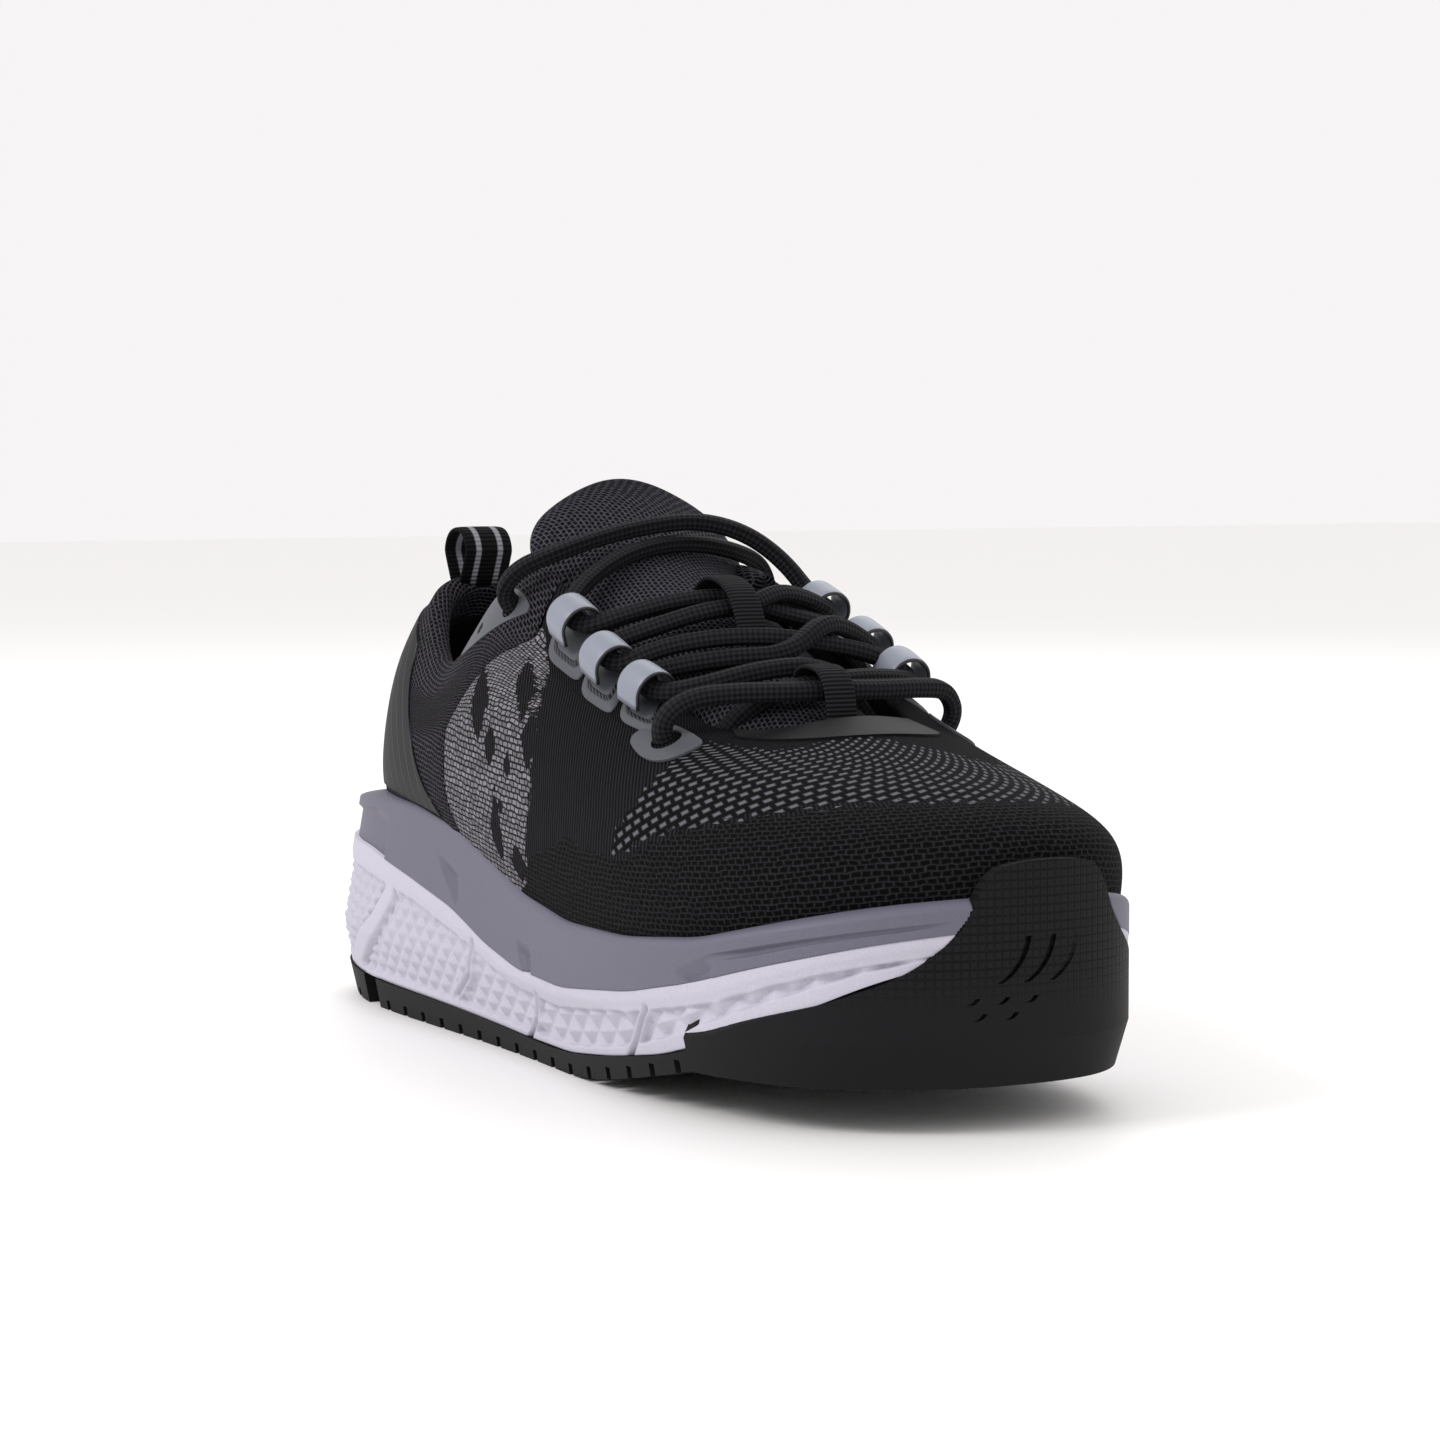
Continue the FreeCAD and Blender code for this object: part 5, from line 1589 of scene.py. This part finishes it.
# ---------------------------------------------------------------- laces and loops
@dataclass
class Lacing:
    """The lace, the tape loops that it runs through and the stitched tabs under them."""
    loop_width: float = 9.0
    loop_span: float = 11.6
    loop_height: float = 8.6
    loop_wall: float = 1.2
    foot_lift: float = 1.6
    diameter: float = 4.8
    tab_stations: float = 0.36
    tab_height: float = 0.085
    tab_crown: float = 0.9
    seats: dict[str, list[tuple[float, float]]] = field(default_factory=lambda: {
        "outer": [(7.2, 0.92), (7.95, 0.90), (8.75, 0.90)],
        "inner": [(7.0, 0.92), (7.75, 0.90), (8.6, 0.90)]})

    def axes(self, side: str, seat: tuple[float, float]) -> tuple[Array, Array]:
        """Seat point, and rows along the throat edge, across it and away from the foot.

        Args:
            side: outer or inner.
            seat: station and height of the seat.

        Returns:
            The seat point, and the three axes as rows.
        """
        u = np.array(STATIONS - seat[0] if side == "inner" else seat[0])
        v = np.array(seat[1])
        along = unit(upper_point(u + 0.02, v) - upper_point(u - 0.02, v))
        along = -along if side == "inner" else along
        away = upper_normal(u, v) * 0.5 + np.array([0, 0, 0.5])
        away = unit(away - along * (away @ along))
        return upper_point(u, v), np.stack([along, np.cross(away, along), away])

    def arch(self, side: str, seat: tuple[float, float]) -> bpy.types.Object:
        """Loop of satin tape: two straight legs joined by a half circle.

        Args:
            side: outer or inner.
            seat: station and height of the seat.

        Returns:
            The closed loop.
        """
        origin, axes = self.axes(side, seat)
        reach = (self.loop_span - self.loop_wall) / 2
        knee = self.loop_height - self.loop_wall / 2 - reach
        angle = np.linspace(0, math.pi, 22)
        arc = np.column_stack([0 * angle, -reach * np.cos(angle), knee + reach * np.sin(angle)])
        legs = [np.array([[0, sign * reach, z] for z in heights]) for sign, heights in
                ((-1, (0, knee / 2)), (1, (knee / 2, 0)))]
        path = np.concatenate([legs[0], arc, legs[1]]) + np.array([0, 0, self.foot_lift])
        return strap_solid("loop", origin + path @ axes, axes[0], self.loop_width, self.loop_wall)

    def tab(self, side: str, seat: tuple[float, float]) -> bpy.types.Object:
        """Stitched patch under a loop: a soft-cornered pad that follows the knit.

        Args:
            side: outer or inner.
            seat: station and height of the seat.

        Returns:
            The closed tab, with its distance from the middle as an attribute.
        """
        u0, v0 = seat
        s, t = grid(36, 36)
        power = 5.0
        a, b = 2 * s - 1, 2 * t - 1
        corner = (np.abs(a) ** power + np.abs(b) ** power + 1e-9) ** (-1 / power)
        shrink = np.minimum(corner * np.maximum(np.abs(a), np.abs(b)), 1)
        u = u0 + a * shrink * self.tab_stations
        v = np.minimum(v0 - 0.012 + b * shrink * self.tab_height, 0.995)
        u = STATIONS - u if side == "inner" else u
        box = np.maximum(np.abs(a), np.abs(b))
        crown = self.tab_crown * (1 - box ** 6)
        return slab_solid("tab", upper_lift(u, v, 0.25 + crown), upper_lift(u, v, 0.1),
                          {"box": box})

    def lace(self) -> bpy.types.Object:
        """Braided cord: a slightly flat section with four low ridges, carried along the spline
        of the route's points.

        Returns:
            The closed cord.
        """
        route = bpy.data.curves.new("lace_route", "CURVE")
        route.dimensions = "3D"
        route.resolution_u = 10
        spline = route.splines.new("NURBS")
        spline.points.add(len(LACE) - 1)
        places = np.column_stack([np.array(LACE) * MM, np.ones(len(LACE))])
        spline.points.foreach_set("co", places.ravel().astype(np.float32))
        spline.order_u = 3
        spline.use_endpoint_u = True
        holder = bpy.data.objects.new("lace_route", route)
        bpy.context.scene.collection.objects.link(holder)
        bpy.context.view_layer.update()
        line = bpy.data.meshes.new_from_object(holder)
        path = np.zeros(len(line.vertices) * 3, np.float32)
        line.vertices.foreach_get("co", path)
        bpy.data.objects.remove(holder)
        return self.cord("braided_lace", path.reshape(-1, 3).astype(float) / MM)

    def cord(self, name: str, path: Array) -> bpy.types.Object:
        """Cord along a path: the side axis is the path's direction crossed with a slowly
        turning guide, and the radius is r(0.96 + 0.06 cos 4a) round a slightly flat circle.

        Args:
            name: name of the cord.
            path: (n, 3) centre line in millimetres.

        Returns:
            The closed cord.
        """
        tangent = unit(np.gradient(path, axis=0))
        centre = np.array([15.0, 0.0, 60.0])
        guide = unit(path - centre)
        side = unit(np.cross(tangent, guide))
        normal = np.cross(side, tangent)
        angle = np.linspace(0, 2 * math.pi, 20, endpoint=False)
        radius = self.diameter / 2 * (0.96 + 0.06 * np.cos(4 * angle))
        wide, thin = radius * np.cos(angle) * 1.06, radius * np.sin(angle) * 0.92
        points = (path[:, None] + side[:, None] * wide[None, :, None]
                  + normal[:, None] * thin[None, :, None])
        return ring_solid(name, points)

    def build(self) -> None:
        """Makes the lace, loops and tabs."""
        place_piece(self.lace(), Finishes.LACE, ("lace",))
        for side, seats in self.seats.items():
            loops = join(f"satin_loops_{side}", [self.arch(side, seat) for seat in seats])
            place_piece(loops, Finishes.LOOP, (f"lace_loops_{side}",))
            tabs = join(f"stitched_tabs_{side}", [self.tab(side, seat) for seat in seats])
            place_piece(tabs, Finishes.TAB, (f"loop_tabs_{side}",))
            WARDROBE.dress(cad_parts[f"aglet_{side}"], Finishes.AGLET)


# ---------------------------------------------------------------- pull loop
@dataclass
class PullLoop:
    """Striped webbing loop that stands on the collar's back edge."""
    base: tuple[float, float] = (-111.5, 109.6)
    reach: float = 6.3
    height: float = 15.6
    foot: float = 1.9
    width: float = 13.8
    wall: float = 1.3

    def build(self) -> None:
        """Teardrop path: two legs that lean out from the seam and a round top."""
        x, z = self.base
        angle = np.linspace(0, math.pi, 30)
        centre = z + self.height - self.reach
        arc = np.column_stack([x - self.reach * np.cos(angle), 0 * angle,
                               centre + self.reach * np.sin(angle)])
        start, end = [x - self.foot, 0, z + 0.1], [x + self.foot, 0, z + 0.1]
        path = open_spline(np.concatenate([[start], arc, [end]]), np.linspace(0, 1, 70))
        loop = strap_solid("striped_pull_loop", path, ACROSS, self.width, self.wall)
        place_piece(loop, Finishes.PULL, ("pull_loop",), "pull_loop")


# ---------------------------------------------------------------- studio
@dataclass
class Studio:
    """Pale floor, soft light and a long lens at the front outer corner."""
    target: tuple[float, float, float] = (0.018498, 0.0, 0.081518)
    azimuth: float = 60.0
    elevation: float = 4.0
    distance: float = 1.0
    lens: float = 103.14
    sensor: float = 36.0
    floor_side: float = 9000.0
    lamps: tuple = (("key", (-0.1, -1.3, 1.1), 0.7, 13.0), ("front", (1.4, 0.1, 0.6), 1.0, 2.0),
                    ("rim", (-0.9, 0.9, 1.2), 1.2, 6.0))

    def camera(self) -> None:
        """Camera on a sphere round the target."""
        a, e = math.radians(self.azimuth), math.radians(self.elevation)
        back = np.array([math.sin(a) * math.cos(e), -math.cos(a) * math.cos(e), math.sin(e)])
        camera = bpy.data.objects.new("camera", bpy.data.cameras.new("camera"))
        camera.data.lens = self.lens
        camera.data.sensor_width = self.sensor
        camera.location = np.array(self.target) + back * self.distance
        camera.rotation_euler = (math.pi / 2 - e, 0, a)
        bpy.context.scene.collection.objects.link(camera)
        bpy.context.scene.camera = camera

    def lamp(self, name: str, place: tuple[float, float, float], side: float,
             power: float) -> None:
        """Square soft box that looks at the target.

        Args:
            name: name of the lamp.
            place: where it stands, in metres.
            side: length of its side in metres.
            power: its power in watts.
        """
        data = bpy.data.lights.new(name, "AREA")
        data.size, data.energy = side, power
        lamp = bpy.data.objects.new(name, data)
        aim = np.array(self.target) - np.array(place)
        lamp.location = place
        lamp.rotation_euler = (math.acos(-aim[2] / np.linalg.norm(aim)), 0,
                               math.atan2(aim[1], aim[0]) - math.pi / 2)
        bpy.context.scene.collection.objects.link(lamp)

    def build(self) -> None:
        """Sets out the camera, lights, world and floor."""
        self.camera()
        for lamp in self.lamps:
            self.lamp(*lamp)
        world = bpy.data.worlds.new("studio")
        world.use_nodes = True
        background = world.node_tree.nodes["Background"]
        background.inputs["Color"].default_value = linear("#f7f5f5")
        background.inputs["Strength"].default_value = 1.0
        bpy.context.scene.world = world
        bpy.context.scene.view_settings.view_transform = "Standard"
        s, t = grid(2, 2)
        plan = [(s - 0.5) * self.floor_side, (t - 0.5) * self.floor_side, 0 * s - 0.05]
        floor = make_mesh("floor", np.stack(plan, -1).reshape(-1, 3), [[0, 2, 3, 1]])
        material = bpy.data.materials.new("pale_floor")
        material.use_nodes = True
        shader = material.node_tree.nodes["Principled BSDF"]
        shader.inputs["Base Color"].default_value = linear("#faf9f8")
        floor.data.materials.append(material)


def main() -> None:
    """Builds the shoe and its studio."""
    Studio().build()
    Lacing().build()
    Sole().build()
    Upper().build()
    Tongue().build()
    PullLoop().build()


if __name__ == "__main__":
    main()
